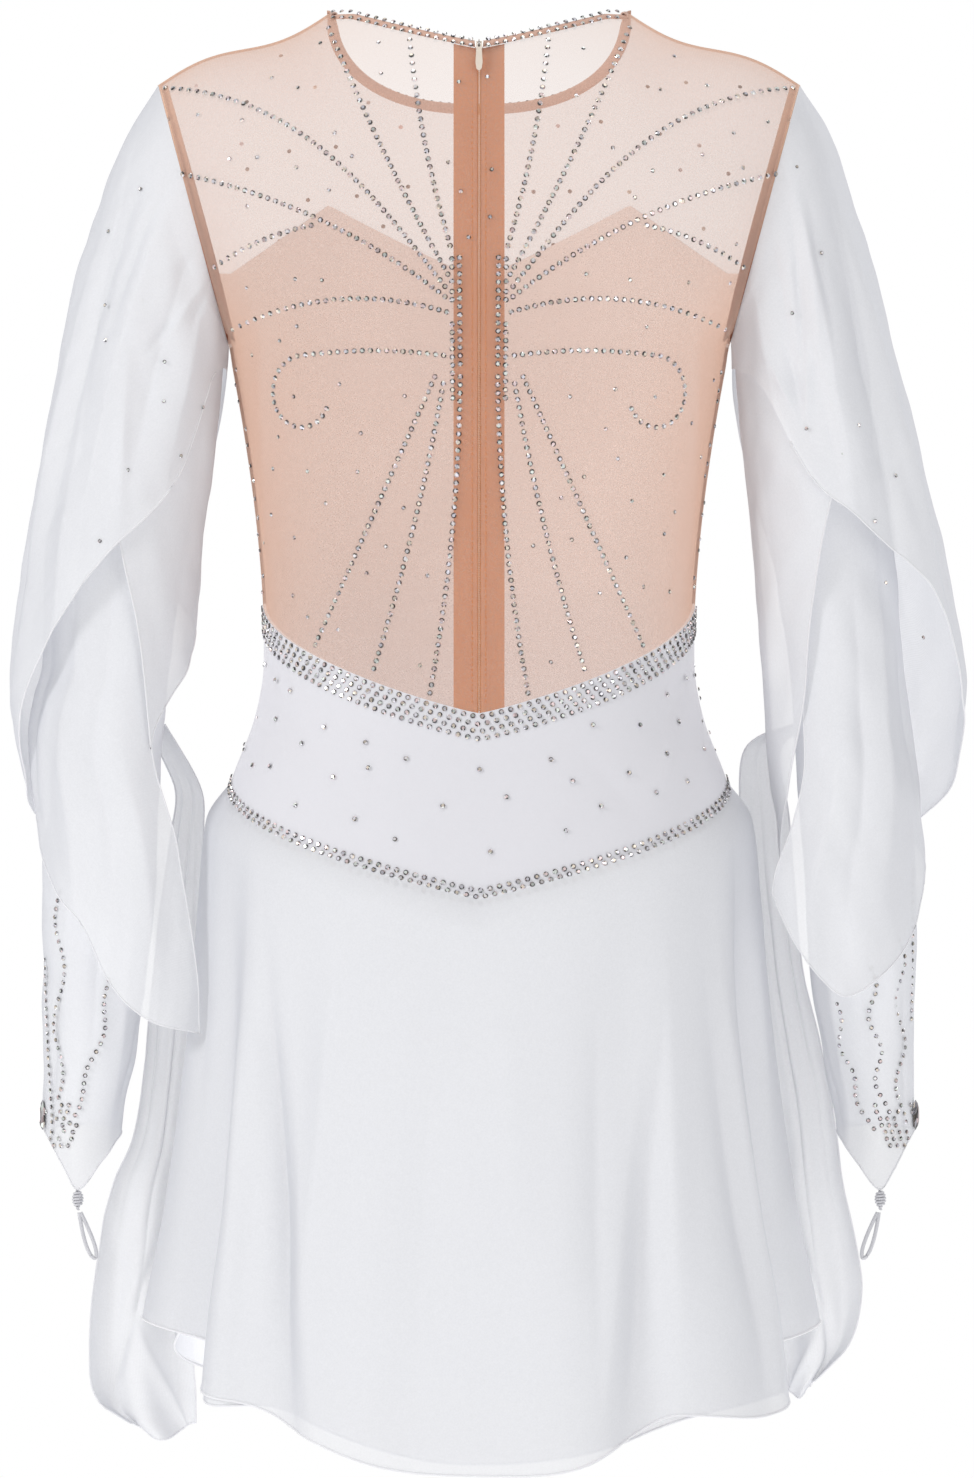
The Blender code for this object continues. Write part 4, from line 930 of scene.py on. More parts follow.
    def build(self) -> None:
        """Build the panels, the lining, the seams and the bindings."""
        centre = (0, 0, -200)
        back = self.half_panel(self.zip_half, Face.BACK)
        front = self.half_panel(0.0, Face.FRONT)
        grids = [(f"back_{hand.word}", f"back_panel_{hand.word}", mirrored(back, hand), (0.22, 0.46), 0.074)
                 for hand in Hand]
        for word, node, points, flat, area in (*grids, ("front", "front_panel", both_halves(front),
                                                        (0.42, 0.46), 0.142)):
            normals = grid_normals(points, False, centre)
            panel = cloth(f"mesh_{word}", points, normals)
            declare(panel, node, self.finishes.mesh, "skin_mesh", "stretched", flat, area)
        self.lining(points, normals)
        self.side_seams(back)
        self.bindings(back, front)

    def lining(self, points: Array, normals: Array) -> None:
        """Lay the lining inside the front: its top edge is two peaks with a V between them."""
        columns = points.shape[1]
        peak_x, middle_z, peak_z, side_z = 90.0, -134.0, -91.0, -133.0
        x = np.abs(points[..., 0])
        inner = middle_z + (peak_z - middle_z) * np.clip(x / peak_x, 0, 1) ** 1.1
        fall = np.clip((x - peak_x) / (self.form.underarm_half - peak_x), 0, 1)
        top = inner + (side_z - peak_z) * fall
        over = points[..., 2] - top
        first = np.argmax(over > 0, axis=0)
        column = np.arange(columns)
        before, after = over[first - 1, column], over[first, column]
        reach = first - after / (after - before)
        face, turned = self.columns_up_to(points, normals, reach, np.linspace(0, 1, 70))
        keep = slice(1, columns - 1)
        inner_face = (face - turned * 1.6)[:, keep]
        sheet = cloth("lining_front", inner_face, turned[:, keep])
        tall = np.linalg.norm(np.diff(face, axis=0), axis=-1).sum(axis=0)
        start = 1 - self.facing_width / tall
        share = start + (1 - start) * np.linspace(0, 1, 5)[:, None]
        strip, strip_normals = self.columns_up_to(points, normals, reach, share)
        band = cloth("lining_facing", (strip - strip_normals * 1.2)[:, keep], strip_normals[:, keep])
        finish(band, self.finishes.binding)
        declare(sheet, "front_lining", self.finishes.lining, "skin_lining", "stretched", (0.40, 0.32), 0.089,
                rests_on=["mesh_front"], with_pieces=[band])

    def columns_up_to(self, points: Array, normals: Array, reach: Array,
                      t: Array) -> tuple[Array, Array]:
        """Read each column of a grid by shares of the row place that it reaches.

        Args:
            points: the grid.
            normals: its normals.
            reach: the last row place of each column.
            t: shares, either one list or one for each column.
        Returns:
            The points and their normals.
        """
        place = (t[:, None] if t.ndim == 1 else t) * reach[None, :]
        low = np.minimum(place.astype(int), len(points) - 2)
        share = (place - low)[..., None]
        column = np.arange(points.shape[1])[None, :]
        face = points[low, column] * (1 - share) + points[low + 1, column] * share
        return face, unit(normals[low, column] * (1 - share) + normals[low + 1, column] * share)

    def side_seams(self, back: Array) -> None:
        """Run a narrow overlocked seam down each side and over each shoulder."""
        count = int(SIDE_SHARE * self.rows)
        for hand in Hand:
            side = mirrored(back[:count, 0] * np.array([0.992, 0.0, 1.0]), hand)
            top = np.linspace(self.form.tip_half, self.form.neck_half, 30)
            line = np.stack([top, 0 * top, self.form.shoulder_line(top) - 0.8], axis=-1)
            turn = np.linspace(0, 2 * np.pi, 120, endpoint=False)
            arm = np.stack(self.form.armhole(turn), axis=-1) - np.array([1.2, 0, 0.3])
            seam = join(f"seam_bodice_{hand.word}", [
                tube(f"seam_side_{hand.word}", side, 0.9),
                tube(f"seam_shoulder_{hand.word}", mirrored(line, hand), 0.8),
                tube(f"seam_armhole_{hand.word}", mirrored(arm, hand), 1.0, True),
            ])
            finish(seam, self.finishes.seam)

    def bindings(self, back: Array, front: Array) -> None:
        """Bind the neck with a folded strip: a flattened loop carried along each cut edge."""
        first = int(round(NECK_SHARE * (self.columns - 1)))
        for half, face in ((back, Face.BACK), (front, Face.FRONT)):
            edge = half[-1, first:]
            along = unit(np.gradient(edge, axis=0))
            away = unit(half[-1, first:] - half[-3, first:])
            up = unit(away - np.sum(away * along, axis=-1, keepdims=True) * along)
            out = unit(np.cross(along, up))
            turn = np.linspace(0, 2 * np.pi, 14, endpoint=False)[None, :, None]
            tall = 2.3 if face is Face.BACK else 3.4
            centre = (edge + up * (BINDING_HEIGHT + 0.3 - tall))[:, None]
            loop = centre + up[:, None] * np.cos(turn) * tall + out[:, None] * np.sin(turn) * 1.0
            if face is Face.BACK:
                for hand in Hand:
                    name, node = f"binding_neck_back_{hand.word}", f"neck_binding_back_{hand.word}"
                    self.binding(name, mirrored(loop, hand), node)
            else:
                whole = np.concatenate([loop, (loop * MIRROR)[-2::-1]])
                self.binding("binding_neck_front", whole, "neck_binding_front")

    def binding(self, name: str, loop: Array, node: str) -> None:
        """Make one binding strip in place of its solid."""
        rows, columns = loop.shape[:2]
        faces = quads(rows, columns, True)
        strip = lay_mesh(name, loop, faces, cloth_map(loop))
        self.outward(strip)
        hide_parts(node)
        finish(strip, self.finishes.binding)

    def outward(self, piece: Piece) -> None:
        """Turn a piece's faces outwards."""
        shape = bmesh.new()
        shape.from_mesh(piece.data)
        bmesh.ops.holes_fill(shape, edges=shape.edges, sides=0)
        bmesh.ops.recalc_face_normals(shape, faces=shape.faces)
        shape.to_mesh(piece.data)
        shape.free()


# Basque and skirt


SKIRT = rows_of(Ring, (
    (-435, 154, 106, 96), (-454, 161, 111, 101), (-502, 166, 121, 107), (-560, 170, 130, 114),
    (-620, 176, 140, 122), (-690, 185, 150, 131), (-750, 196, 159, 139), (-845, 206, 170, 150),
))


@dataclass(frozen=True)
class Fold:
    """A hanging fold: its angle round the skirt, how far it stands out and its half width."""

    angle: float
    out: float
    width: float


FOLDS = rows_of(Fold, (
    (-78, 6, 9), (-60, -25, 7), (-48, 9, 6), (-35, -9, 6), (-18, 4, 9), (12, 4, 9), (27, -8, 6),
    (45, 5, 9), (59, 8, 6), (70, -24, 7), (86, 6, 8), (108, -13, 8), (124, 7, 8), (141, -10, 7),
    (158, 6, 9), (178, -9, 8), (-160, 6, 9), (-142, -10, 7), (-124, 7, 8), (-106, -13, 8),
))


@dataclass(frozen=True)
class Hem:
    """A point of a hem: an angle round the piece and the hem's height there."""

    angle: float
    z: float


SKIRT_HEM = rows_of(Hem, (
    (-180, -800), (-135, -788), (-90, -750), (-68, -758), (-58, -771), (-51, -790), (-39, -801),
    (-26, -820), (-12, -837), (5, -841), (14, -836), (25, -816), (33, -806), (48, -808), (60, -799),
    (68, -775), (77, -762), (90, -753), (135, -788), (180, -800),
))
UNDER_SKIRT_HEM = rows_of(Hem, (
    (-180, -792), (-90, -744), (-62, -764), (-50, -797), (-36, -801), (0, -834), (22, -822), (34, -808),
    (60, -791), (90, -746), (180, -792),
))


def hem_level(table: Sequence[Hem], angle: Array) -> Array:
    """Read a hem's height smoothly round a full circle."""
    around = (np.asarray(angle, float) + 180) % 360 - 180
    return smooth([point.angle for point in table], [point.z for point in table], around)


@dataclass
class Skirt:
    """The basque and the two layers of the skirt, with their rolled hems.

    Args:
        form: the figure.
        finishes: the materials.
        blend: the drop over which the skirt leaves the basque's line.
        fold_length: the drop over which the folds reach their full depth.
        under_gap: how far inside the outer skirt the under skirt hangs.
        creases: folds of the skirt, across in degrees and down in millimetres.
        basque_creases: folds of the basque, across as a ring share.
    """

    form: BodyForm
    finishes: Finishes
    blend: float = 22.0
    fold_length: float = 330.0
    under_gap: float = 2.2
    creases: tuple[Crease, ...] = rows_of(Crease, (
        (-38.5, -660, -0.055, 2.6, 130, -7.5), (-48, -660, -0.03, 5.0, 150, 6.0),
        (-32, -690, -0.05, 3.5, 110, 3.0), (29, -700, 0.06, 4.0, 110, -5.0),
        (23, -720, 0.06, 4.5, 110, 2.4), (66, -620, 0.0, 4.5, 150, -6.5),
        (57, -640, -0.02, 3.6, 130, 3.2), (-71, -560, -0.02, 4.0, 90, -3.0),
        (-29, -640, 0.012, 4.5, 120, 2.6), (-8, -700, 0.01, 5.0, 130, -2.4),
        (4, -600, -0.012, 4.5, 100, 1.8), (19, -690, 0.015, 4.0, 120, -3.0),
        (36, -640, 0.02, 4.0, 120, 3.0), (52, -700, -0.02, 3.5, 110, -3.4),
        (77, -620, 0.02, 4.0, 110, 3.0), (-43, -730, -0.01, 3.5, 90, -3.2),
        (100, -640, 0.01, 4.0, 120, 2.8), (116, -690, -0.01, 4.0, 110, -3.0),
        (133, -640, 0.01, 4.0, 120, 2.4), (150, -700, 0.01, 4.5, 120, -2.8),
        (168, -650, -0.01, 4.0, 110, 2.6), (-170, -690, 0.01, 4.0, 110, -2.6),
        (-150, -640, 0.01, 4.0, 120, 2.8), (-132, -700, -0.01, 4.0, 110, -3.0),
        (-115, -650, 0.01, 4.0, 110, 2.6), (-97, -680, 0.01, 4.0, 110, -2.6),
    ))
    basque_creases: tuple[Crease, ...] = rows_of(Crease, (
        (0.86, -395, 0.004, 0.06, 26, 1.6), (0.72, -380, 0.006, 0.06, 24, -1.6),
        (0.55, -425, 0.004, 0.06, 24, 1.1), (0.34, -440, -0.004, 0.07, 26, -1.0),
        (0.12, -470, 0.003, 0.06, 20, 0.9),
    ))

    def share(self, angle: Array) -> Array:
        """Give the place round the body ring of an angle round the skirt."""
        return np.abs(np.arcsin(np.clip(np.sin(np.radians(angle)), -1, 1))) * 2 / np.pi

    def surface(self, angle: Array, z: Array) -> Array:
        """Give the outer surface: flared rings moved out by bells at each fold, growing downwards.

        Args:
            angle: degrees round from the middle of the back.
            z: heights.
        Returns:
            The points.
        """
        form = self.form
        turn = np.radians(angle)
        share = self.share(angle)
        drop = np.clip((form.hip_seam(share) - z) / self.blend, 0, 1)
        sizes = {}
        for name in ("half_width", "back", "front"):
            flare = smooth([row.z for row in SKIRT], [getattr(row, name) for row in SKIRT], z)
            above = form.size(name, z)
            sizes[name] = above + (flare - above) * drop * (2 - drop)
        depth = np.where(np.cos(turn) >= 0, sizes["back"], sizes["front"])
        x = sizes["half_width"] * form.sine(share) * np.sign(np.sin(turn))
        y = -depth * form.cosine(share) * np.sign(np.cos(turn))
        out = np.zeros_like(x)
        for fold in FOLDS:
            away = (angle - fold.angle + 180) % 360 - 180
            out = out + fold.out * np.exp(-((away / fold.width) ** 2))
        grown = np.clip((form.hip_seam(share) - z) / self.fold_length, 0, 1.2) ** 1.15
        around = (angle + 180) % 360 - 180
        out = out * grown + creased(self.creases, around, z) * np.clip(grown * 3, 0, 1)
        return np.stack([x + np.sin(turn) * out, y - np.cos(turn) * out, z], axis=-1)

    def layer(self, start: float, stop: float, count: int, rows: int, hem: Sequence[Hem],
              closed: bool) -> Array:
        """Lay out one layer's grid from the hip seam to its hem."""
        angle = np.linspace(start, stop, count, endpoint=not closed)[None, :]
        t = np.linspace(0, 1, rows)[:, None]
        top = self.form.hip_seam(self.share(angle))
        z = top + (hem_level(hem, angle) - top) * t
        return self.surface(angle + 0 * z, z)

    def build(self) -> None:
        """Build the basque, the skirt's back, front and under layer, and their hems."""
        centre = (0, 0, -600)
        pieces = (
            ("back", -90.0, 90.0, 221, 90, (0.62, 0.42), 0.181),
            ("front", 90.0, 270.0, 161, 80, (0.58, 0.38), 0.159),
        )
        for word, start, stop, count, rows, flat, area in pieces:
            points = self.layer(start, stop, count, rows, SKIRT_HEM, False)
            self.hemmed(word, points, grid_normals(points, False, centre), False, flat, area)
        points = self.layer(-180.0, 180.0, 360, 80, UNDER_SKIRT_HEM, True)
        normals = grid_normals(points, True, centre)
        self.hemmed("under", points - normals * self.under_gap, normals, True, (1.20, 0.42), 0.32)
        for face in Face:
            self.basque(face)

    def hemmed(self, word: str, points: Array, normals: Array, closed: bool,
               flat: tuple[float, float], area: float) -> None:
        """Make one layer of the skirt with its rolled hem.

        Args:
            word: which layer.
            points: its grid, the hem last.
            normals: its outward normals.
            closed: whether it goes right round.
            flat: its cut width and length in metres.
            area: its cut area in square metres.
        """
        sheet = cloth(f"chiffon_skirt_{word}", points, normals, closed)
        hem = tube(f"hem_skirt_{word}", points[-1], HEM_RADIUS, closed)
        finish(hem, self.finishes.hem)
        declare(sheet, f"skirt_{word}", self.finishes.chiffon, "white_chiffon", "gathered", flat, area,
                rests_on=["basque_back"], with_pieces=[hem])

    def basque(self, face: Face) -> None:
        """Make one side of the hip yoke on the body's rings, with soft strain creases."""
        share = np.abs(np.linspace(-1, 1, 141))[None, :]
        side = np.sign(np.linspace(-1, 1, 141))[None, :]
        t = np.linspace(0, 1, 40)[:, None]
        top, bottom = self.form.waist_seam(share), self.form.hip_seam(share)
        z = top + (bottom - top) * t
        x = self.form.size("half_width", z) * self.form.sine(share + 0 * z) * side
        y = face.value * self.form.depth(np.abs(x), z, share + 0 * z, face)
        points = np.stack([x, y, z], axis=-1)
        centre = (0, 0, -430)
        normals = grid_normals(points, False, centre)
        fade = np.sin(np.pi * t) * np.clip((1 - share) * 10, 0, 1)
        points = points + normals * (creased(self.basque_creases, share, z) * fade)[..., None]
        word = face.name.lower()
        sheet = cloth(f"stretch_basque_{word}", points, grid_normals(points, False, centre))
        declare(sheet, f"basque_{word}", self.finishes.stretch, "white_stretch", "stretched", (0.40, 0.18),
                0.042)


# Sleeves


@dataclass(frozen=True)
class SleeveRing:
    """One level of a sleeve: its outer and inner points, its middle and its half depth."""

    z_out: float
    x_out: float
    z_in: float
    x_in: float
    y_mid: float
    half_depth: float


OVER_LEFT = rows_of(SleeveRing, (
    (-22, 190, -174, 149, 0, 50), (-60, 213.5, -187, 149.5, 0, 52), (-98, 226.5, -203, 150.5, 0, 53),
    (-143, 240, -225, 152, 0, 54), (-187, 250, -254, 155, 0, 55), (-237, 259, -287, 159, 0, 56),
    (-281, 267, -317, 162, 0, 57), (-329, 274, -349, 164, 0, 58), (-379, 280, -385, 166.5, 0, 58),
    (-411, 275.5, -414, 168, 0, 57), (-438, 268.5, -438, 170, 0, 56), (-475, 263, -475, 174, 0, 55),
))
OVER_RIGHT = rows_of(SleeveRing, (
    (-22, 190, -174, 149, 0, 50), (-51, 208.5, -185, 149.5, 0, 52), (-97, 223.5, -205, 150.5, 0, 53),
    (-140, 236.5, -225, 152, 0, 54), (-184, 247, -250, 154, 0, 55), (-224, 258.5, -270, 156, 0, 56),
    (-274, 270, -302, 158.5, 0, 57), (-321, 280, -337, 161, 0, 58), (-378, 289.5, -379, 164, 0, 58),
    (-409, 287, -411, 166, 0, 57), (-438, 282, -438, 169, 0, 56), (-461, 269, -461, 172, 0, 55),
    (-495, 259, -495, 175, 0, 54),
))
FITTED = rows_of(SleeveRing, (
    (-24, 189.5, -172, 149.5, 0, 48), (-60, 203, -186, 156, 0, 46), (-98, 213, -204, 160, 0, 44),
    (-143, 222, -230, 165, 2, 42), (-190, 230, -262, 169, 3, 41), (-240, 235, -297, 174, 4, 40),
    (-290, 236, -332, 179, 5, 38), (-335, 240, -366, 183, 6, 36), (-385, 247, -405, 187, 8, 34),
    (-438, 254, -450, 190, 10, 32), (-490, 259, -497, 192, 12, 31), (-540, 259, -543, 196, 14, 30),
    (-597, 258, -597, 204, 17, 27), (-632, 258, -632, 211, 19, 24), (-680, 257, -680, 214, 20, 22.5),
))
PETAL_LEFT = rows_of(SleeveRing, (
    (-242, 236.8, -299, 172.4, 4, 41.7), (-300, 258, -330, 169, 1, 46), (-358, 257, -372, 173, 0, 48),
    (-384, 263, -392, 174, 0, 49), (-408, 267, -412, 174, 0, 49.5), (-432, 265.5, -432, 170, -1, 51),
    (-465, 261.5, -465, 158, -2, 55), (-491, 260.5, -491, 152, -3, 57), (-520, 259, -520, 146, -4, 58),
    (-562, 256, -562, 141, -5, 58), (-600, 254, -600, 141, -6, 57),
))
PETAL_RIGHT = rows_of(SleeveRing, (
    (-242, 236.8, -299, 172.4, 4, 41.7), (-300, 246, -340, 171.5, 1, 45.5),
    (-340, 249, -366, 174, 0, 46.2), (-385, 253, -400, 176, 0, 47.5), (-422, 259, -428, 174, 0, 49.5),
    (-460, 263, -460, 164, -1, 53), (-491, 263.5, -491, 150, -3, 57), (-530, 262, -530, 146, -4, 58),
    (-575, 256, -575, 144, -6, 57),
))
OVER_HEM_LEFT = rows_of(Hem, (
    (-180, -190), (-150, -262), (-120, -335), (-90, -400), (-60, -440), (-30, -456), (0, -438),
    (24, -408), (52, -354), (72, -318), (89, -295), (103, -281), (118, -264), (129, -244), (137, -218),
    (145, -198), (158, -191), (180, -190),
))
OVER_HEM_RIGHT = rows_of(Hem, (
    (-180, -190), (-140, -290), (-110, -400), (-80, -468), (-55, -472), (-35, -455), (-15, -430),
    (0, -405), (19, -372), (30, -332), (52, -304), (67, -291), (82, -275), (101, -257), (126, -204),
    (150, -192), (180, -190),
))
PETAL_HEM_LEFT = rows_of(Hem, (
    (-50, -440), (0, -461), (40, -504), (56, -520), (68, -549), (90, -573), (125, -583),
))
PETAL_HEM_RIGHT = rows_of(Hem, (
    (-50, -462), (0, -486), (28, -526), (50, -547), (75, -561), (90, -551), (110, -526), (125, -500),
))
CUFF_HEM = rows_of(Hem, (
    (-180, -642), (-150, -640), (-90, -638), (-30, -640), (10, -642), (38, -651), (62, -665), (84, -676),
    (120, -660), (150, -648), (180, -642),
))
FLAP_EDGE_LEFT = ((0, 84), (0.3, 97), (0.55, 109), (0.8, 119), (1, 124))
FLAP_EDGE_RIGHT = ((0, 84), (0.2, 100), (0.45, 115), (0.75, 134), (1, 168))


@dataclass(frozen=True)
class WingRow:
    """One level of a wing: its outer and inner edges, and how far forward each lies."""

    z: float
    x_out: float
    y_out: float
    x_in: float
    y_in: float


WING_LEFT = rows_of(WingRow, (
    (-437, 181, 47, 166, 34), (-465, 183, 48, 164, 42), (-502, 188, 53, 164, 52),
    (-562, 195, 60, 165, 62), (-598, 198, 66, 167, 70), (-646, 206, 72, 169, 80),
    (-677, 218, 76, 171, 86), (-713, 225, 80, 172, 92), (-749, 231, 84, 173, 98),
    (-790, 232, 88, 170, 104), (-809, 226, 89, 169, 104), (-822, 208, 90, 169, 104),
))
WING_RIGHT = rows_of(WingRow, (
    (-415, 179, 46, 158, 36), (-455, 184, 49, 155, 52), (-502, 188, 54, 157, 60),
    (-543, 192, 60, 161, 66), (-594, 202, 66, 166, 73), (-627, 210, 70, 169, 79),
    (-675, 216, 75, 172, 87), (-703, 222, 78, 173, 91), (-742, 228, 82, 175, 97),
    (-774, 222, 85, 177, 100), (-797, 200, 87, 181, 100),
))


def sleeve_point(table: Sequence[SleeveRing], angle: Array, level: Array,
                 inset: object = 0.0) -> Array:
    """Give points of a ringed sleeve: an ellipse on the slanted line from outer to inner point.

    Args:
        table: the sleeve's rings.
        angle: degrees round it: 0 outer side, 90 back, 180 inner side.
        level: which ring, fractions allowed.
        inset: how far the points lie inside it.
    Returns:
        The points, on the +X side.
    """
    places = np.arange(len(table))
    names = ("z_out", "x_out", "z_in", "x_in", "y_mid", "half_depth")
    columns = ([getattr(ring, name) for ring in table] for name in names)
    z_out, x_out, z_in, x_in, y_mid, depth = (smooth(places, column, level) for column in columns)
    turn = np.radians(angle)
    run_x, run_z = x_out - x_in, z_out - z_in
    length = np.sqrt(run_x**2 + run_z**2)
    reach = (length / 2 - inset) / length
    x = (x_out + x_in) / 2 + run_x * reach * np.cos(turn)
    z = (z_out + z_in) / 2 + run_z * reach * np.cos(turn)
    y = y_mid - (depth - inset) * np.sin(turn)
    return np.stack(np.broadcast_arrays(x, y, z), axis=-1)


def level_at(table: Sequence[SleeveRing], angle: Array, z: Array) -> Array:
    """Find the level at which a sleeve reaches a height, by halving the range again and again."""
    angle, z = np.broadcast_arrays(np.asarray(angle, float), np.asarray(z, float))
    low, high = np.zeros(angle.shape), np.full(angle.shape, len(table) - 1.0)
    for _ in range(26):
        middle = (low + high) / 2
        above = sleeve_point(table, angle, middle)[..., 2] > z
        low, high = np.where(above, middle, low), np.where(above, high, middle)
    return (low + high) / 2


def on_sleeve(table: Sequence[SleeveRing], x: Array, z: Array) -> Array:
    """Find the angle on a sleeve's back half that is seen at x and z, by halving."""
    low, high = np.zeros(len(x)), np.full(len(x), 180.0)
    for _ in range(22):
        middle = (low + high) / 2
        seen = sleeve_point(table, middle, level_at(table, middle, z))[:, 0] > x
        low, high = np.where(seen, middle, low), np.where(seen, high, middle)
    return (low + high) / 2


@dataclass
class Sleeve:
    """One long sleeve: fitted tube, outer sleeve, flap, petal, wing, cuff stone, knot and loop.

    Args:
        hand: its side.
        finishes: the materials.
        over: the rings of the outer sleeve.
        over_hem: its hem.
        petal: the petal's rings.
        petal_hem: its hem.
        flap_edge: the flap's free edge, as shares down and angles.
        flap_end: the angle of its hidden edge.
        flap_bottom: its lowest height.
        wing: the wing's rows.
        creases: soft folds of the outer sleeve, across in degrees and down in millimetres.
        petal_creases: the same for the petal and the flap.
        hem_gap: the angles between which the outer hem runs into the gathers, unrolled.
        cuff_point: the angle of the cuff's point.
        flap_inset: how far inside the outer sleeve the flap hangs.
        flap_tuck: how far it reaches up under the outer hem.
        flap_top: the greatest height of its upper edge.
        flap_rise: how far its lower edge climbs.
        wing_top: the height at which the wing is sewn on.
        wing_wave: the depth of its waves.
        wing_heart: y of the place that its inner face looks towards.
        fitted_seam: the ring at which the fitted sleeve is split.
        crumple_height: the height of the soft crumple.
        gem_size: the cuff stone's half width, height and thickness.
        stone_angle: where it sits round the cuff.
        stone_height: where it sits down the sleeve.
        loop_radius: the radius of the finger loop's cord.
        loop_half: half the loop's width.
        loop_lean: how far its lower end leans in.
        loop_gap: the angle left open at its upper end, to each side.
        loop_ends: how far inside its solid's box it ends, above and below.
        loop_side: how far its upper end lies from the box's outer side.
        cuff_creases: folds of the fitted sleeve's lower part.
        wing_creases: folds of the wing.
    """

    hand: Hand
    finishes: Finishes
    over: tuple[SleeveRing, ...]
    over_hem: tuple[Hem, ...]
    petal: tuple[SleeveRing, ...]
    petal_hem: tuple[Hem, ...]
    flap_edge: tuple[tuple[float, float], ...]
    flap_end: float
    flap_bottom: float
    wing: tuple[WingRow, ...]
    creases: tuple[Crease, ...]
    petal_creases: tuple[Crease, ...]
    hem_gap: tuple[float, float]
    cuff_point: float = 84.0
    flap_inset: float = 3.9
    flap_tuck: float = 26.0
    flap_top: float = -185.0
    flap_rise: float = 90.0
    wing_top: float = -400.0
    wing_wave: float = 6.0
    wing_heart: float = 400.0
    fitted_seam: float = 5.0
    crumple_height: float = 0.95
    gem_size: tuple[float, float, float] = (3.6, 9.0, 2.6)
    stone_angle: float = 12.0
    stone_height: float = -632.0
    loop_radius: float = 1.15
    loop_half: float = 3.5
    loop_lean: float = 9.0
    loop_gap: float = 0.36
    loop_ends: float = 1.3
    loop_side: float = 2.4
    cuff_creases: tuple[Crease, ...] = rows_of(Crease, (
        (60, -470, 0.05, 9, 60, 1.6), (95, -520, 0.04, 8, 70, -1.6), (130, -560, -0.05, 9, 60, 1.6),
        (160, -600, 0.20, 9, 30, -1.5), (40, -590, 0.10, 8, 50, -1.3), (-40, -500, 0.05, 10, 80, 1.8),
        (-90, -560, -0.05, 10, 70, -1.8), (-140, -520, 0.04, 10, 80, 1.6),
    ))
    wing_creases: tuple[Crease, ...] = rows_of(Crease, (
        (40, -560, 0.10, 14, 110, 3.0), (95, -600, 0.06, 12, 130, -3.0),
        (140, -640, -0.05, 13, 120, 2.6), (70, -760, 0.90, 12, 45, -3.2),
        (120, -790, -1.20, 12, 30, 3.0),
    ))

    def sheet(self, name: str, node: str, points: Array, closed: bool, creases: Sequence[Crease],
              angle: Array, flat: tuple[float, float], area: float,
              border: tuple[Array, Array], heart: float = 5.0) -> None:
        """Make one layer with its creases and a rolled hem along its free borders.

        Args:
            name: the piece's name, without its side.
            node: the solid that it stands for, without its side.
            points: its grid on the +X side.
            closed: whether it goes right round.
            creases: its folds.
            angle: the angle of each point, for the folds.
            flat: its cut size in metres.
            area: its cut area in square metres.
            border: the rows and the columns of the hemmed border's points.
            heart: y of the place that its inner face looks towards.
        """
        middle = (215, heart, points[..., 2].mean())
        normals = grid_normals(points, closed, middle)
        fade = np.clip(np.linspace(0, 8, len(points)), 0, 1)[:, None]
        rough = crumple(points, self.crumple_height, len(name) + self.hand.value)
        folds = creased(creases, angle, points[..., 2]) + rough
        points = points + normals * (folds * fade)[..., None]
        points = mirrored(points, self.hand)
        normals = mirrored(grid_normals(mirrored(points, self.hand), closed, middle), self.hand)
        word = self.hand.word
        made = cloth(f"{name}_{word}", points, normals, closed)
        whole = closed and len(border[1]) == points.shape[1]
        hem = tube(f"hem_{name}_{word}", points[border], SLEEVE_HEM_RADIUS, whole)
        finish(hem, self.finishes.hem)
        declare(made, f"{node}_{word}", self.finishes.chiffon, "white_chiffon", "hung", flat, area,
                with_pieces=[hem])

    def border(self, rows: int, columns: int) -> tuple[Array, Array]:
        """Index the two sides and the bottom of an open grid as one line."""
        down, across = np.arange(rows), np.arange(columns)
        r = np.concatenate([down, np.full(columns - 1, rows - 1), down[-2::-1]])
        c = np.concatenate([np.zeros(rows, int), across[1:], np.full(rows - 1, columns - 1)])
        return r, c

    def build(self) -> None:
        """Build every layer and the cuff's trims."""
        self.tubes()
        self.flap()
        self.petal_layer()
        self.wing_layer()
        self.trims()

    def tubes(self) -> None:
        """Build the outer sleeve and the fitted sleeve as full tubes."""
        for name, node, table, count, flat, area, creases in (
            ("over", "sleeve_over", self.over, 232, (0.40, 0.45), 0.085, self.creases),
            ("fitted_upper", "sleeve_fitted_upper", FITTED, 120, (0.32, 0.28), 0.0445, ()),
            ("fitted_lower", "sleeve_fitted_lower", FITTED, 120, (0.27, 0.44), 0.075, self.cuff_creases),
        ):
            angle = self.cuff_point + np.linspace(-180, 180, count, endpoint=False)[None, :]
            t = np.linspace(0, 1, 100)[:, None]
            columns = np.arange(count)
            start, stop = 0.0, level_at(FITTED, angle, hem_level(CUFF_HEM, angle))
            if name == "over":
                stop = level_at(self.over, angle, hem_level(self.over_hem, angle))
                rolled = np.roll(columns, -np.searchsorted(angle[0], self.hem_gap[1]))
                columns = rolled[(angle[0, rolled] < self.hem_gap[0]) | (angle[0, rolled] > self.hem_gap[1])]
            elif name == "fitted_upper":
                stop = self.fitted_seam + 0 * angle
            else:
                start = self.fitted_seam
            points = sleeve_point(table, angle + 0 * t, start + (stop - start) * t)
            border = (np.full(len(columns), len(points) - 1), columns)
            self.sheet(f"chiffon_{name}", node, points, True, creases, angle + 0 * t, flat, area, border)

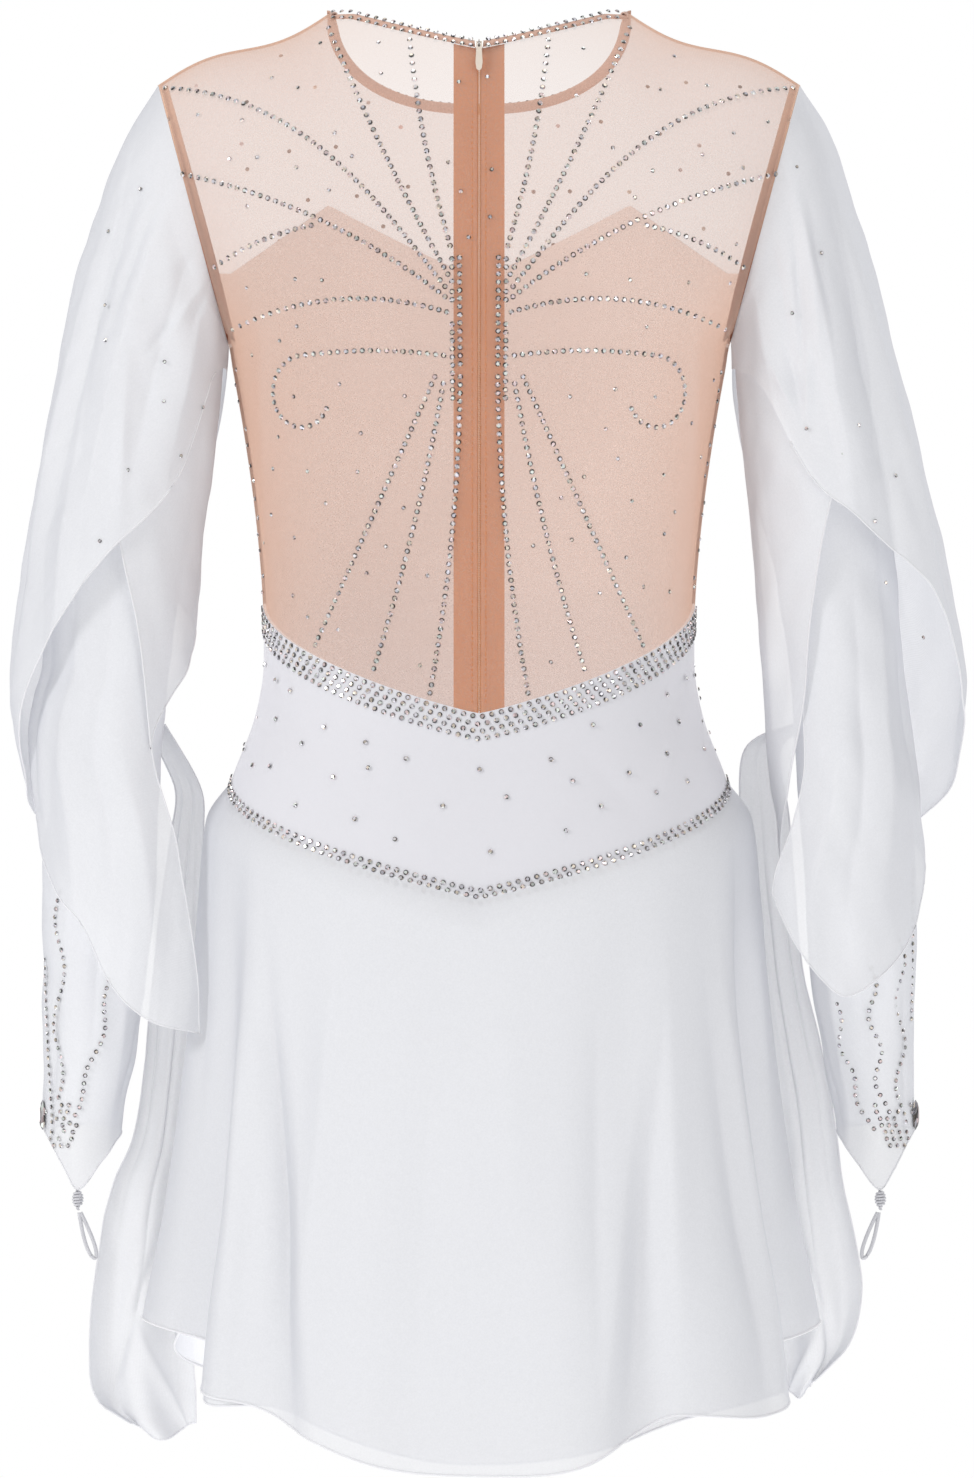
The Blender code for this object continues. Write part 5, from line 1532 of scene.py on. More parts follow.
    def flap(self) -> None:
        """Build the inner flap, whose free edge slants the other way under the outer sleeve."""
        s, t = np.linspace(0, 1, 60)[None, :], np.linspace(0, 1, 80)[:, None]
        start = smooth([a for a, _ in self.flap_edge], [b for _, b in self.flap_edge], t)
        angle = start + (self.flap_end - start) * s
        top = np.minimum(hem_level(self.over_hem, angle) + self.flap_tuck, self.flap_top)
        z = top + (self.flap_bottom + self.flap_rise * s**0.6 - top) * t
        points = sleeve_point(self.over, angle, level_at(self.over, angle, z), self.flap_inset)
        self.sheet("chiffon_flap", "sleeve_flap", points, False, self.petal_creases, angle,
                   (0.16, 0.33), 0.019, self.border(80, 60))

    def petal_layer(self) -> None:
        """Build the petal that hangs from the fitted sleeve."""
        angle = np.linspace(-50, 125, 90)[None, :]
        t = np.linspace(0, 1, 90)[:, None]
        level = level_at(self.petal, angle, hem_level(self.petal_hem, angle)) * t
        points = sleeve_point(self.petal, angle + 0 * t, level)
        self.sheet("chiffon_petal", "sleeve_petal", points, False, self.petal_creases, angle + 0 * t,
                   (0.20, 0.36), 0.038, self.border(90, 90))

    def wing_layer(self) -> None:
        """Build the hanging wing: smooth rows between its edges, waved across and pinched above."""
        s = np.linspace(0, 1, 60)
        angle = 235 + (195 - 235) * s
        level = level_at(FITTED, angle, np.full(60, self.wing_top))
        rows = [sleeve_point(FITTED, angle, level, -1.5)]
        span = self.wing[0].z - self.wing[-1].z
        for row in self.wing:
            start = np.array([row.x_out, row.y_out, row.z], float)
            end = np.array([row.x_in, row.y_in, row.z], float)
            line = start + (end - start) * s[:, None]
            drop = (self.wing[0].z - row.z) / span
            line[:, 1] += self.wing_wave * drop * np.sin(s * 3 * np.pi)
            line[:, 2] += 5.0 * drop * np.cos(s * np.pi * 2)
            rows.append(line)
        points = smooth_rows(np.array(rows), np.linspace(0, len(rows) - 1, 110))
        turned = np.broadcast_to(180 * s[None, :], points.shape[:2])
        self.sheet("chiffon_wing", "sleeve_wing", points, False, self.wing_creases, turned,
                   (0.10, 0.44), 0.019, self.border(110, 60), self.wing_heart)

    def trims(self) -> None:
        """Build the oval stone, the wound knot and the finger loop at the cuff."""
        hand, word = self.hand, self.hand.word
        angle = np.array([self.stone_angle])
        spot = sleeve_point(FITTED, angle, level_at(FITTED, angle, self.stone_height))[0]
        turn = np.radians(self.stone_angle)
        out = np.array([np.cos(turn), -np.sin(turn), 0.0])
        spot, out = mirrored(spot + out * 0.6, hand), mirrored(out, hand)
        gem = oval_gem(f"oval_gem_{word}", spot, out, *self.gem_size)
        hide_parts(f"cuff_gem_{word}")
        finish(gem, self.finishes.stone)
        low, high = (np.array(corner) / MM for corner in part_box(f"finger_knot_{word}"))
        centre, half = (low + high) / 2, (high - low) / 2 * np.array([0.82, 0.82, 0.9])
        turns = np.linspace(0, 2 * np.pi * 6.5, 320)
        up = np.linspace(-1.35, 1, 320)
        girth = np.sqrt(np.clip(1 - up**2, 0.02, 1))
        path = centre + half * np.stack([girth * np.cos(turns), girth * np.sin(turns), up], axis=-1)
        knot = tube(f"wound_knot_{word}", path, 0.75)
        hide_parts(f"finger_knot_{word}")
        finish(knot, self.finishes.thread)
        low, high = (np.array(corner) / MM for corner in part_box(f"finger_loop_{word}"))
        self.loop(low, high)

    def loop(self, low: Array, high: Array) -> None:
        """Build the finger loop: a drop-shaped line, narrow at the knot, leaning in.

        Args:
            low: the lowest corner of its solid.
            high: the highest corner.
        """
        turns = np.linspace(self.loop_gap, 2 * np.pi - self.loop_gap, 80)
        drop = (1 - np.cos(turns)) / 2
        top, bottom = high[2] - self.loop_ends, low[2] + self.loop_ends
        tip = high[0] - self.loop_side if self.hand is Hand.RIGHT else low[0] + self.loop_side
        lean = -self.loop_lean * self.hand.value
        x = tip + lean * drop + self.hand.value * self.loop_half * (0.3 + 0.7 * drop) * np.sin(turns)
        z = (top + bottom) / 2 + (top - bottom) / 2 * np.cos(turns)
        path = np.stack([x, np.full_like(x, (low[1] + high[1]) / 2), z], axis=-1)
        made = tube(f"cord_loop_{self.hand.word}", path, self.loop_radius)
        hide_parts(f"finger_loop_{self.hand.word}")
        finish(made, self.finishes.thread)


# Stones


def facet_reflection_tints(count: int, facets: int, seed: int) -> Array:
    """Draw painted reflections, one for each face: silver greys with a little pink, green and blue; the top is
    a painted highlight.
    """
    chance = np.random.default_rng(seed)
    # painted reflections: each face gets a random brightness, dark to bright
    reflection_grey = chance.choice([0.05, 0.16, 0.36, 0.66, 0.98], size=(count, facets, 1),
                         p=[0.18, 0.24, 0.24, 0.18, 0.16])
    tint = np.array([[1.0, 0.96, 0.97], [1.0, 0.80, 0.80], [0.90, 0.96, 0.90], [0.94, 0.92, 1.0],
                     [1.0, 0.88, 0.74]])
    pick = chance.integers(0, len(tint), size=(count, facets))
    # painted highlight: the flat top is always light
    reflection_grey[:, -2] = chance.uniform(0.55, 1.0, size=(count, 1))
    return reflection_grey * tint[pick]


def paint_facets(made: Piece, colours: Array) -> None:
    """Shade a stone mesh flat and keep a colour at each face corner.

    Args:
        made: the stones.
        colours: one colour for each corner, the painted reflection of its face.
    """
    made.data.shade_flat()
    layer = made.data.color_attributes.new("facet", "FLOAT_COLOR", "CORNER")
    opaque = np.concatenate([colours, np.ones((len(colours), 1))], axis=1)
    layer.data.foreach_set("color", opaque.astype(np.float32).ravel())


def cut_stones(name: str, centres: Array, normals: Array, radii: Array,
               seed: int) -> Piece:
    """Set many round cut stones as one mesh: an eight-sided girdle, sloped facets and a flat top, with painted
    reflections and a painted highlight.

    Args:
        name: the object's name.
        centres: where each stone's flat back is glued.
        normals: which way each looks.
        radii: each stone's radius.
        seed: the seed of its turn and tints.
    Returns:
        The stones.
    """
    chance = np.random.default_rng(seed)
    count = len(centres)
    turn = np.linspace(0, 2 * np.pi, 8, endpoint=False)
    girdle = np.stack([np.cos(turn), np.sin(turn), 0 * turn], axis=-1)
    table = np.stack([0.55 * np.cos(turn + 0.39), 0.55 * np.sin(turn + 0.39), 0 * turn + 0.5], axis=-1)
    shape = np.concatenate([girdle, table])
    spin = chance.uniform(0, np.pi / 4, count)
    seed_axis = np.where(np.abs(normals[:, 2:3]) < 0.8, [[0.0, 0, 1]], [[0.0, 1, 0]])
    first = unit(np.cross(normals, seed_axis))
    second = np.cross(normals, first)
    cosine, sine = np.cos(spin)[:, None], np.sin(spin)[:, None]
    first, second = first * cosine + second * sine, second * cosine - first * sine
    points = centres[:, None] + radii[:, None, None] * (
        shape[None, :, :1] * first[:, None] + shape[None, :, 1:2] * second[:, None] + shape[None, :,
                                                                                            2:] * normals[:,
                                                                                                          None]
    )
    j = np.arange(8)
    k = (j + 1) % 8
    low = np.stack([j, k, 8 + j], axis=-1)
    high = np.stack([k, 8 + k, 8 + j], axis=-1)
    cap = np.stack([np.full(6, 8), 8 + np.arange(1, 7), 8 + np.arange(2, 8)], axis=-1)
    back = np.stack([np.full(6, 0), np.arange(2, 8), np.arange(1, 7)], axis=-1)
    base = np.concatenate([low, high, cap, back])
    faces = (base[None] + np.arange(count)[:, None, None] * len(shape)).reshape(-1, 3)
    made = lay_mesh(name, points, faces)
    # painted reflections on every face, with a painted highlight on each flat top
    reflection_tints = facet_reflection_tints(count, 10, seed + 1)
    which = np.concatenate([j, j, np.full(6, 8), np.full(6, 9)])
    paint_facets(made, np.repeat(reflection_tints[:, which].reshape(-1, 3), 3, axis=0))
    return made


def oval_gem(name: str, centre: Array, normal: Array, half: float, tall: float,
             thick: float) -> Piece:
    """Cut one large oval stone: three rings of twelve points and a flat top, faceted."""
    side = unit(np.cross(normal, [0.0, 0, 1]))
    up = np.cross(side, normal)
    turn = np.linspace(0, 2 * np.pi, 12, endpoint=False)
    rings = []
    for share, rise, shift in ((0.9, 0.0, 0.0), (1.0, 0.3, 0.0), (0.78, 0.75, 0.26), (0.5, 1.0, 0.0)):
        ring = centre + half * share * np.cos(turn + shift)[:, None] * side
        ring = ring + tall * share * np.sin(turn + shift)[:, None] * up + thick * rise * normal
        rings.append(ring)
    faces = quads(4, 12, True).tolist() + [list(range(36, 48)), list(range(11, -1, -1))]
    made = lay_mesh(name, np.array(rings), faces)
    counts = [len(face) for face in faces]
    # painted reflections on its faces, with a painted highlight on its flat top
    paint_facets(made, np.repeat(facet_reflection_tints(1, len(counts), 7)[0], counts, axis=0))
    return made


@dataclass(frozen=True)
class StoneRow:
    """A row of stones on the back: a straight line from start to end, bowed sideways.

    Args:
        x0: where it starts, across.
        z0: where it starts, up.
        x1: where it ends, across.
        z1: where it ends, up.
        bow: how far its middle is pushed upwards or outwards.
        lean: how much fuller the bow is towards the row's end.
    """

    x0: float
    z0: float
    x1: float
    z1: float
    bow: float
    lean: float = 0.0


FAN = rows_of(StoneRow, (
    (17, -119, 41, 5, -3), (16, -140, 90, 14, -3), (20, -143, 188, -24, 24, 0.35),
    (20, -149, 178, -75, 10), (94, -106, 158, -132, 4), (19, -158, 149, -169, 13),
    (26, -196, 98, -357, 0), (21, -200, 63, -371, -3), (11, -196, 29, -383, -4),
    (11.5, -126, 11, -196, 0), (16, -122, 15.5, -212, 0), (7.5, -150, 13, -265, -1),
))


TAPE_STONES = np.array([(-11.9, -22.0), (4.9, -19.0), (7.5, -74.0), (-10.7, -87.0), (6.5, -102.0),
                        (-6.1, -114.0)])


def apart(spots: Array, least: float) -> Array:
    """Drop each spot that lies too near to one before it."""
    gap = np.linalg.norm(spots[:, None] - spots[None], axis=-1)
    return spots[~np.triu(gap < least, 1).any(axis=0)]


@dataclass
class StoneWork:
    """The body's small stones: the fan and curls on the back, bands, neck rows and scatter.

    Args:
        form: the figure.
        finishes: the materials.
        pitch: the distance between stones in a row.
        radius: the radius of a stone in a row.
        single_radius: the radius of a scattered stone.
        curl_middle: x and z of the middle of a curl's spiral.
        curl_size: its half width and half height.
        curl_start: x and z of the start of the run that ends in it.
    """

    form: BodyForm
    finishes: Finishes
    pitch: float = 4.8
    radius: float = 1.75
    single_radius: float = 1.35
    curl_middle: tuple[float, float] = (104.0, -205.0)
    curl_size: tuple[float, float] = (18.0, 22.0)
    curl_start: tuple[float, float] = (16.0, -184.0)

    def along(self, path: Array, pitch: float) -> Array:
        """Space points evenly along a line."""
        length = np.concatenate([[0], np.cumsum(np.linalg.norm(np.diff(path, axis=0), axis=1))])
        places = np.arange(0, length[-1], pitch)
        return np.stack([np.interp(places, length, path[:, i]) for i in range(path.shape[1])], axis=-1)

    def fan_lines(self, hand: Hand) -> list[Array]:
        """Draw the fan on one side: bowed rows, and a curl that is a run ending in a spiral."""
        u = np.linspace(0, 1, 60)[:, None]
        lines = []
        for row in FAN:
            start, end = np.array([row.x0, row.z0]), np.array([row.x1, row.z1])
            across = unit(np.array([-(end - start)[1], (end - start)[0]]))
            across = across if across[1] > 0 else -across
            bow = row.bow * 4 * u * (1 - u) * (1 + row.lean * (2 * u - 1))
            lines.append(start + (end - start) * u + across * bow)
        turn = np.radians(np.linspace(90, -165, 60))
        radius = np.linspace(1.0, 0.9, 60)
        (middle_x, middle_z), (wide, tall) = self.curl_middle, self.curl_size
        start_x, start_z = self.curl_start
        curl = np.stack([middle_x + wide * radius * np.cos(turn), middle_z + tall * radius * np.sin(turn)],
                        axis=-1)
        run_z = start_z + 3 * np.sin(np.linspace(0, np.pi, 30)) + np.linspace(0, curl[0, 1] - start_z, 30)
        run = np.stack([np.linspace(start_x, curl[0, 0], 30), run_z], axis=-1)
        lines.append(np.concatenate([run, curl[1:]]))
        return [line * np.array([hand.value, 1.0]) for line in lines]

    def set_back(self) -> None:
        """Set the fan, the neck rows and the scatter on the bodice's back."""
        places = [self.along(line, self.pitch) for hand in Hand for line in self.fan_lines(hand)]
        spots = apart(np.concatenate(places), 4.1)
        self.glue_back("stones_fan", spots, self.radius, Face.BACK, 11)
        spots = self.scatter(Face.BACK, 26.0, 21)
        clear = self.far_from(spots, np.concatenate(places), 8.0)
        spots = np.concatenate([spots[clear & (np.abs(spots[:, 0]) > 17)], TAPE_STONES])
        self.glue_back("stones_scatter_back", spots, self.single_radius, Face.BACK, 13)
        spots = self.scatter(Face.FRONT, 32.0, 33)
        self.glue_back("stones_scatter_front", spots, self.single_radius, Face.FRONT, 15)

    def far_from(self, spots: Array, others: Array, least: float) -> Array:
        """Mark the spots that lie clear of all the others."""
        return np.linalg.norm(spots[:, None] - others[None], axis=-1).min(axis=1) > least

    def scatter(self, face: Face, pitch: float, seed: int) -> Array:
        """Scatter spots over a bodice face: a jittered lattice kept inside its outline."""
        chance = np.random.default_rng(seed)
        x, z = np.meshgrid(np.arange(-180, 181, pitch), np.arange(-385, 15, pitch * 0.87))
        x = x + (np.arange(x.shape[0])[:, None] % 2) * pitch / 2
        spots = np.stack([x, z], axis=-1).reshape(-1, 2) + chance.uniform(-0.3, 0.3, (x.size, 2)) * pitch
        side = np.abs(spots[:, 0])
        width = self.form.size("half_width", spots[:, 1])
        share = self.form.share(side / width)
        seam = np.interp(spots[:, 1], [-174, -98, -22], [149, 160, 186])
        inside = (side < np.minimum(width * 0.97, np.where(spots[:, 1] > -174, seam - 4, 999)))
        inside &= spots[:, 1] > self.form.waist_seam(share) + 6
        edge = np.where(side < self.form.neck_half, self.form.neck(side, face) - 9,
                        self.form.shoulder_line(side) - 6)
        return spots[inside & (spots[:, 1] < edge) & (side > 6)]

    def glue_back(self, name: str, spots: Array, radius: float, face: Face, seed: int) -> None:
        """Glue stones on the bodice at places seen straight on."""
        points, normals = self.form.on_back(spots[:, 0], spots[:, 1], face)
        self.set_stones(name, points, normals, radius, seed, 0.35)

    def set_stones(self, name: str, points: Array, normals: Array, radius: float, seed: int,
                   lift: object) -> None:
        """Set stones of one size a little off the cloth.

        Args:
            name: the object's name.
            points: the places on the cloth.
            normals: which way each looks.
            radius: the stones' radius.
            seed: the seed of their turn and tints.
            lift: how far each stands off the cloth.
        """
        stones = cut_stones(name, points + normals * lift, normals, np.full(len(points), radius), seed)
        finish(stones, self.finishes.stone)

    def neck_rows(self) -> None:
        """Set two rows of stones on the back neck binding and one on the front's."""
        for face, rows in ((Face.BACK, (1.2, -2.4)), (Face.FRONT, (0.4,))):
            spots = []
            turn = np.linspace(np.pi, 0, 300)
            x = (self.form.neck_half - 2) * np.cos(turn)
            for lift in rows:
                z = self.form.neck(np.abs(x), face) - 2.0 + lift
                spots.append(self.along(np.stack([x, z], axis=-1), 5.2))
            spots = apart(np.concatenate(spots), 3.2)
            spots = spots[np.abs(spots[:, 0]) > 3]
            points, normals = self.form.on_back(spots[:, 0], spots[:, 1], face)
            name = f"stones_neck_{face.name.lower()}"
            self.set_stones(name, points, normals, radius=1.6, seed=17, lift=1.3)

    def bands(self) -> None:
        """Set the waist band of four packed rows and the hip band of three, all round the body."""
        for face in Face:
            points, normals = [], []
            for base, rows, row_gap, top in (("waist", 4, 4.3, 2.2), ("hip", 3, 3.9, -3.6)):
                for row in range(rows):
                    share = self.even_shares(base, face, 5.7, row % 2 * 0.5)
                    side = np.sign(share)
                    share = np.abs(share)
                    seam = self.form.waist_seam(share) if base == "waist" else self.form.hip_seam(share)
                    p, n = self.ring_point(share, seam - top - row * row_gap, face)
                    points.append(p * to_side(side))
                    normals.append(n * to_side(side))
            points, normals = np.concatenate(points), np.concatenate(normals)
            lift = np.where(points[:, 2:3] < -430, 0.6, 0.35)
            name = f"stones_bands_{face.name.lower()}"
            self.set_stones(name, points, normals, radius=1.65, seed=19, lift=lift)

    def even_shares(self, base: str, face: Face, pitch: float, offset: float) -> Array:
        """Give ring shares, signed by side, spaced evenly along a seam."""
        share = np.linspace(-1, 1, 800)
        seam = self.form.waist_seam(np.abs(share)) if base == "waist" else self.form.hip_seam(np.abs(share))
        points, _ = self.ring_point(np.abs(share), seam, face)
        points[:, 0] *= np.sign(share)
        length = np.concatenate([[0], np.cumsum(np.linalg.norm(np.diff(points, axis=0), axis=1))])
        places = np.arange(offset * pitch, length[-1], pitch)
        return np.interp(places, length, share)

    def ring_point(self, share: Array, z: Array, face: Face) -> tuple[Array, Array]:
        """Give a body ring's points and normals, from steps along the ring and up it."""

        def at(w: Array, h: Array) -> Array:
            """Give one ring point."""
            x = self.form.size("half_width", h) * self.form.sine(w)
            return np.stack([x, face.value * self.form.depth(x, h, w, face), h], axis=-1)

        inner = np.clip(share, 0.01, 0.985)
        around = at(inner + 0.01, z) - at(inner - 0.01, z)
        upward = at(inner, z + 0.5) - at(inner, z - 0.5)
        normal = unit(np.cross(around, upward))
        return at(share, z), normal * np.sign(normal[:, 1:2] * face.value)

    def basque_scatter(self) -> None:
        """Scatter single stones over the basque."""
        for face, seed in ((Face.BACK, 41), (Face.FRONT, 43)):
            chance = np.random.default_rng(seed)
            share = np.linspace(-0.92, 0.92, 13)
            grid, row = np.meshgrid(share, np.array([0.30, 0.52, 0.74]))
            grid = grid + (np.arange(3)[:, None] % 2) * 0.07 + chance.uniform(-0.03, 0.03, grid.shape)
            row = row + chance.uniform(-0.07, 0.07, row.shape)
            w = np.clip(np.abs(grid), 0, 0.96).ravel()
            side = np.sign(grid).ravel()
            top, bottom = self.form.waist_seam(w), self.form.hip_seam(w)
            z = top + (bottom - top) * row.ravel()
            points, normals = self.ring_point(w, z, face)
            points, normals = points * to_side(side), normals * to_side(side)
            name = f"stones_basque_{face.name.lower()}"
            self.set_stones(name, points, normals, radius=1.5, seed=seed, lift=1.0)

    def side_rows(self) -> None:
        """Set a loose row of stones down each side of the back, beside the seam."""
        chance = np.random.default_rng(81)
        z = np.arange(-322.0, -182.0, 11.0)
        points, normals = [], []
        for hand in Hand:
            level = z + chance.uniform(-3.0, 3.0, len(z))
            spots, facing = self.ring_point(chance.uniform(0.86, 0.93, len(z)), level, Face.BACK)
            points.append(mirrored(spots, hand))
            normals.append(mirrored(facing, hand))
        points, normals = np.concatenate(points), np.concatenate(normals)
        self.set_stones("stones_side", points, normals, radius=1.5, seed=83, lift=0.5)

    def build(self) -> None:
        """Set every group of stones."""
        self.set_back()
        self.side_rows()
        self.neck_rows()
        self.bands()
        self.basque_scatter()


@dataclass
class CuffStones:
    """The rows on a cuff, the small triangle round its oval stone, and the sleeve's scatter.

    Args:
        sleeve: the sleeve that carries them.
        finishes: the materials.
        lines: rows as (x at the top, z at the top, x at the bottom, z at the bottom, wave).
    """

    sleeve: Sleeve
    finishes: Finishes
    lines: tuple[tuple[float, float, float, float, float], ...]

    def build(self) -> None:
        """Set the rows and the triangle on the fitted sleeve and the scatter on the outer one."""
        spots = []
        for x0, z0, x1, z1, wave in self.lines:
            count = int(np.hypot(x1 - x0, z1 - z0) / 4.6)
            u = np.linspace(0, 1, max(count, 2))
            x = x0 + (x1 - x0) * u**1.6 + wave * np.sin(u * 4.4 * np.pi)
            spots.append(np.stack([x, z0 + (z1 - z0) * u], axis=-1))
        for row in range(7):
            count = 6 - row // 2
            x = 255.5 - np.arange(count) * 4.2 + (row % 2) * 1.5 - row * 0.6
            spots.append(np.stack([x, np.full(count, -626.0 - row * 4.0)], axis=-1))
        self.glue("stones_cuff", FITTED, apart(np.concatenate(spots), 3.4), 1.45, 51, 0.3)
        chance = np.random.default_rng(61 if self.sleeve.hand is Hand.LEFT else 67)
        x, z = np.meshgrid(np.arange(158, 285, 36.0), np.arange(-420, -50, 34.0))
        x = x + (np.arange(x.shape[0])[:, None] % 2) * 18
        spots = np.stack([x, z], axis=-1).reshape(-1, 2) + chance.uniform(-10, 10, (x.size, 2))
        outer = np.interp(-spots[:, 1], [22, 98, 187, 281, 379, 438], [190, 225, 249, 267, 281, 270]) - 8
        inner = np.interp(-spots[:, 1], [22, 98, 174, 254, 349, 438], [194, 172, 155, 161, 170, 176]) + 5
        hem = np.interp(spots[:, 0], [165, 205, 240, 262, 280], [-250, -285, -330, -370, -400])
        keep = (spots[:, 0] < outer) & (spots[:, 0] > inner) & (spots[:, 1] > hem + 6)
        self.glue("stones_sleeve", self.sleeve.over, spots[keep], 1.25, 71, 0.5)

    def glue(self, name: str, table: Sequence[SleeveRing], spots: Array, radius: float, seed: int,
             lift: float) -> None:
        """Glue stones on a sleeve at places seen straight on."""
        angle = on_sleeve(table, spots[:, 0], spots[:, 1])
        level = level_at(table, angle, spots[:, 1])
        points = sleeve_point(table, angle, level)
        around = sleeve_point(table, angle + 1, level) - sleeve_point(table, angle - 1, level)
        down = sleeve_point(table, angle, level + 0.02) - sleeve_point(table, angle, level - 0.02)
        normals = unit(np.cross(around, down))
        normals = normals * np.sign(-normals[:, 1:2])
        hand = self.sleeve.hand
        radii = np.full(len(points), radius)
        places = mirrored(points + normals * lift, hand)
        stones = cut_stones(f"{name}_{hand.word}", places, mirrored(normals, hand), radii, seed)
        finish(stones, self.finishes.stone)


# Zip


@dataclass
class ZipFastener:
    """The dressed zip: its coil, the stitches beside it and the materials of its kept solids.

    Args:
        form: the figure.
        finishes: the materials.
        tooth_pitch: the distance between teeth.
        chain_top: the chain's upper end.
        chain_bottom: its lower end.
        stitch_place: how far the stitches run from the middle.
    """

    form: BodyForm
    finishes: Finishes
    tooth_pitch: float = 1.35
    chain_top: float = -6.5
    chain_bottom: float = -392.5
    stitch_place: float = 4.0

    def middle(self, z: Array, x: float = 0.0) -> tuple[Array, Array]:
        """Find the surface and its normal beside the middle of the back."""
        return self.form.on_back(np.full(len(z), x), z, Face.BACK)

    def build(self) -> None:
        """Give the kept solids their materials, and make the coil and the stitch lines."""
        given = self.finishes
        for names, material in (("zip_tape_left zip_tape_right", given.copper),
                                ("armhole_binding_left armhole_binding_right", given.seam),
                                ("zip_slider", given.metal), ("zip_pull", given.enamel)):
            for name in names.split():
                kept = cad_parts[name].data.materials
                kept.clear()
                kept.append(material)
        self.teeth()
        self.stitches()

    def teeth(self) -> None:
        """Make the coil: two tubes that wind from side to side down the slot, half a turn apart."""
        z = np.linspace(self.chain_top, self.chain_bottom, 4200)
        points, normals = self.middle(z)
        turn = (self.chain_top - z) / self.tooth_pitch * 2 * np.pi
        coils = []
        for side in Hand:
            x = side.value * (0.45 + 0.45 * np.cos(turn + (0 if side is Hand.LEFT else np.pi)))
            out = 0.35 * np.sin(turn) - 0.75
            path = points + normals * out[:, None] + np.stack([x, 0 * x, 0 * x], axis=-1)
            coils.append(tube(f"coil_{side.word}", path, 0.22, sides=4))
        coil = join("zip_coil", coils)
        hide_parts("zip_chain")
        finish(coil, self.finishes.coil)

    def stitches(self) -> None:
        """Run a line of small stitches down each side of the zip."""
        z = np.arange(-8.0, -388.0, -3.1)
        stitches = []
        for side in Hand:
            points, normals = self.middle(z, side.value * self.stitch_place)
            ends = points + np.array([0, 0, -2.0])
            middle = (points + ends) / 2 + normals * 0.45
            stitches.append(np.stack([points + normals * 0.1, middle, ends + normals * 0.1], axis=1))
        ring = np.stack([tube_points(row, 0.16, 4, False) for row in np.concatenate(stitches)])
        size = ring[0].shape[0] * ring[0].shape[1]
        faces = (quads(3, 4, True)[None] + np.arange(len(ring))[:, None, None] * size).reshape(-1, 4)
        made = lay_mesh("zip_stitches", ring, faces)
        finish(made, self.finishes.copper)


# Studio


@dataclass
class Studio:
    """The floor, the lights and the camera at the photograph's viewing angle.

    Args:
        frame_height: the height that the picture covers at the dress, in metres.
        centre: the picture's middle, in metres.
        distance: the camera's distance, in metres.
        floor_level: the floor's height, in metres.
        floor_half: half the floor's width, in millimetres.
    """

    frame_height: float = 0.8755
    centre: tuple[float, float] = (0.0047, -0.4092)
    distance: float = 15.0
    floor_level: float = -1.45
    floor_half: float = 6000.0

    def build(self) -> None:
        """Set up the studio."""
        self.camera()
        self.floor()
        self.lights()
        self.world()

    def camera(self) -> None:
        """Place the camera straight behind the dress, level, with a long lens."""
        data = bpy.data.cameras.new("camera")
        data.sensor_width = 36.0
        data.lens = 36.0 * self.distance / self.frame_height
        data.clip_end = 100.0
        camera = bpy.data.objects.new("camera", data)
        camera.location = (self.centre[0], -self.distance, self.centre[1])
        camera.rotation_euler = (np.pi / 2, 0.0, 0.0)
        bpy.context.scene.collection.objects.link(camera)
        bpy.context.scene.camera = camera

    def floor(self) -> None:
        """Lay a wide pale floor, well below the hanging hem."""
        side = np.linspace(-self.floor_half, self.floor_half, 3)
        x, y = np.meshgrid(side, side)
        points = np.stack([x, y, np.full_like(x, self.floor_level / MM)], axis=-1)
        floor = lay_mesh("floor", points, quads(3, 3, False)[:, ::-1])
        made = bpy.data.materials.new("pale_floor")
        made.use_nodes = True
        bench = NodeBench(made.node_tree)
        shader = made.node_tree.nodes["Principled BSDF"]
        noise = bench.add("ShaderNodeTexNoise", Scale=3.0)
        bench.put(shader.inputs["Base Color"],
                  bench.mix(noise.outputs[0], (0.86, 0.86, 0.87, 1), (0.9, 0.9, 0.9, 1)))
        shader.inputs["Roughness"].default_value = 0.9
        shader.inputs["Emission Color"].default_value = (0.9, 0.9, 0.91, 1.0)
        shader.inputs["Emission Strength"].default_value = 0.45
        floor.data.materials.append(made)

    def lights(self) -> None:
        """Hang large soft lights: a key and a fill on the back's side, and the same in front."""
        for name, place, power, size in (
            ("key_back", (-2.3, -1.6, 0.8), 27.0, 0.7),
            ("fill_back", (1.7, -2.2, 0.0), 11.0, 1.6),
            ("key_front", (2.0, 2.0, 0.8), 24.0, 0.7),
            ("fill_front", (-1.7, 2.2, 0.0), 9.0, 1.6),
            ("top", (0.0, -0.3, 2.2), 14.0, 1.6),
        ):
            data = bpy.data.lights.new(name, "AREA")
            data.energy = power
            data.size = size
            light = bpy.data.objects.new(name, data)
            light.location = place
            toward = np.array([0.0, 0.0, -0.42]) - np.array(place)
            length = np.linalg.norm(toward)
            light.rotation_euler = (np.arccos(-toward[2] / length), 0.0,
                                    np.arctan2(toward[0], -toward[1]) + np.pi)
            bpy.context.scene.collection.objects.link(light)

    def world(self) -> None:
        """Fill the studio with pale light, which the camera sees as a white ground."""
        world = bpy.data.worlds.new("studio")
        world.use_nodes = True
        tree = world.node_tree
        bench = NodeBench(tree)
        tree.nodes.clear()
        path = bench.add("ShaderNodeLightPath")
        soft = bench.add("ShaderNodeBackground", Color=(0.99, 0.99, 1.0, 1.0), Strength=0.5)
        seen = bench.add("ShaderNodeBackground", Color=(1.0, 1.0, 1.0, 1.0), Strength=1.0)
        mix = bench.add("ShaderNodeMixShader", Fac=path.outputs["Is Camera Ray"])
        tree.links.new(soft.outputs[0], mix.inputs[1])
        tree.links.new(seen.outputs[0], mix.inputs[2])
        out = bench.add("ShaderNodeOutputWorld")
        tree.links.new(mix.outputs[0], out.inputs["Surface"])
        bpy.context.scene.world = world
        bpy.context.scene.view_settings.view_transform = "Standard"


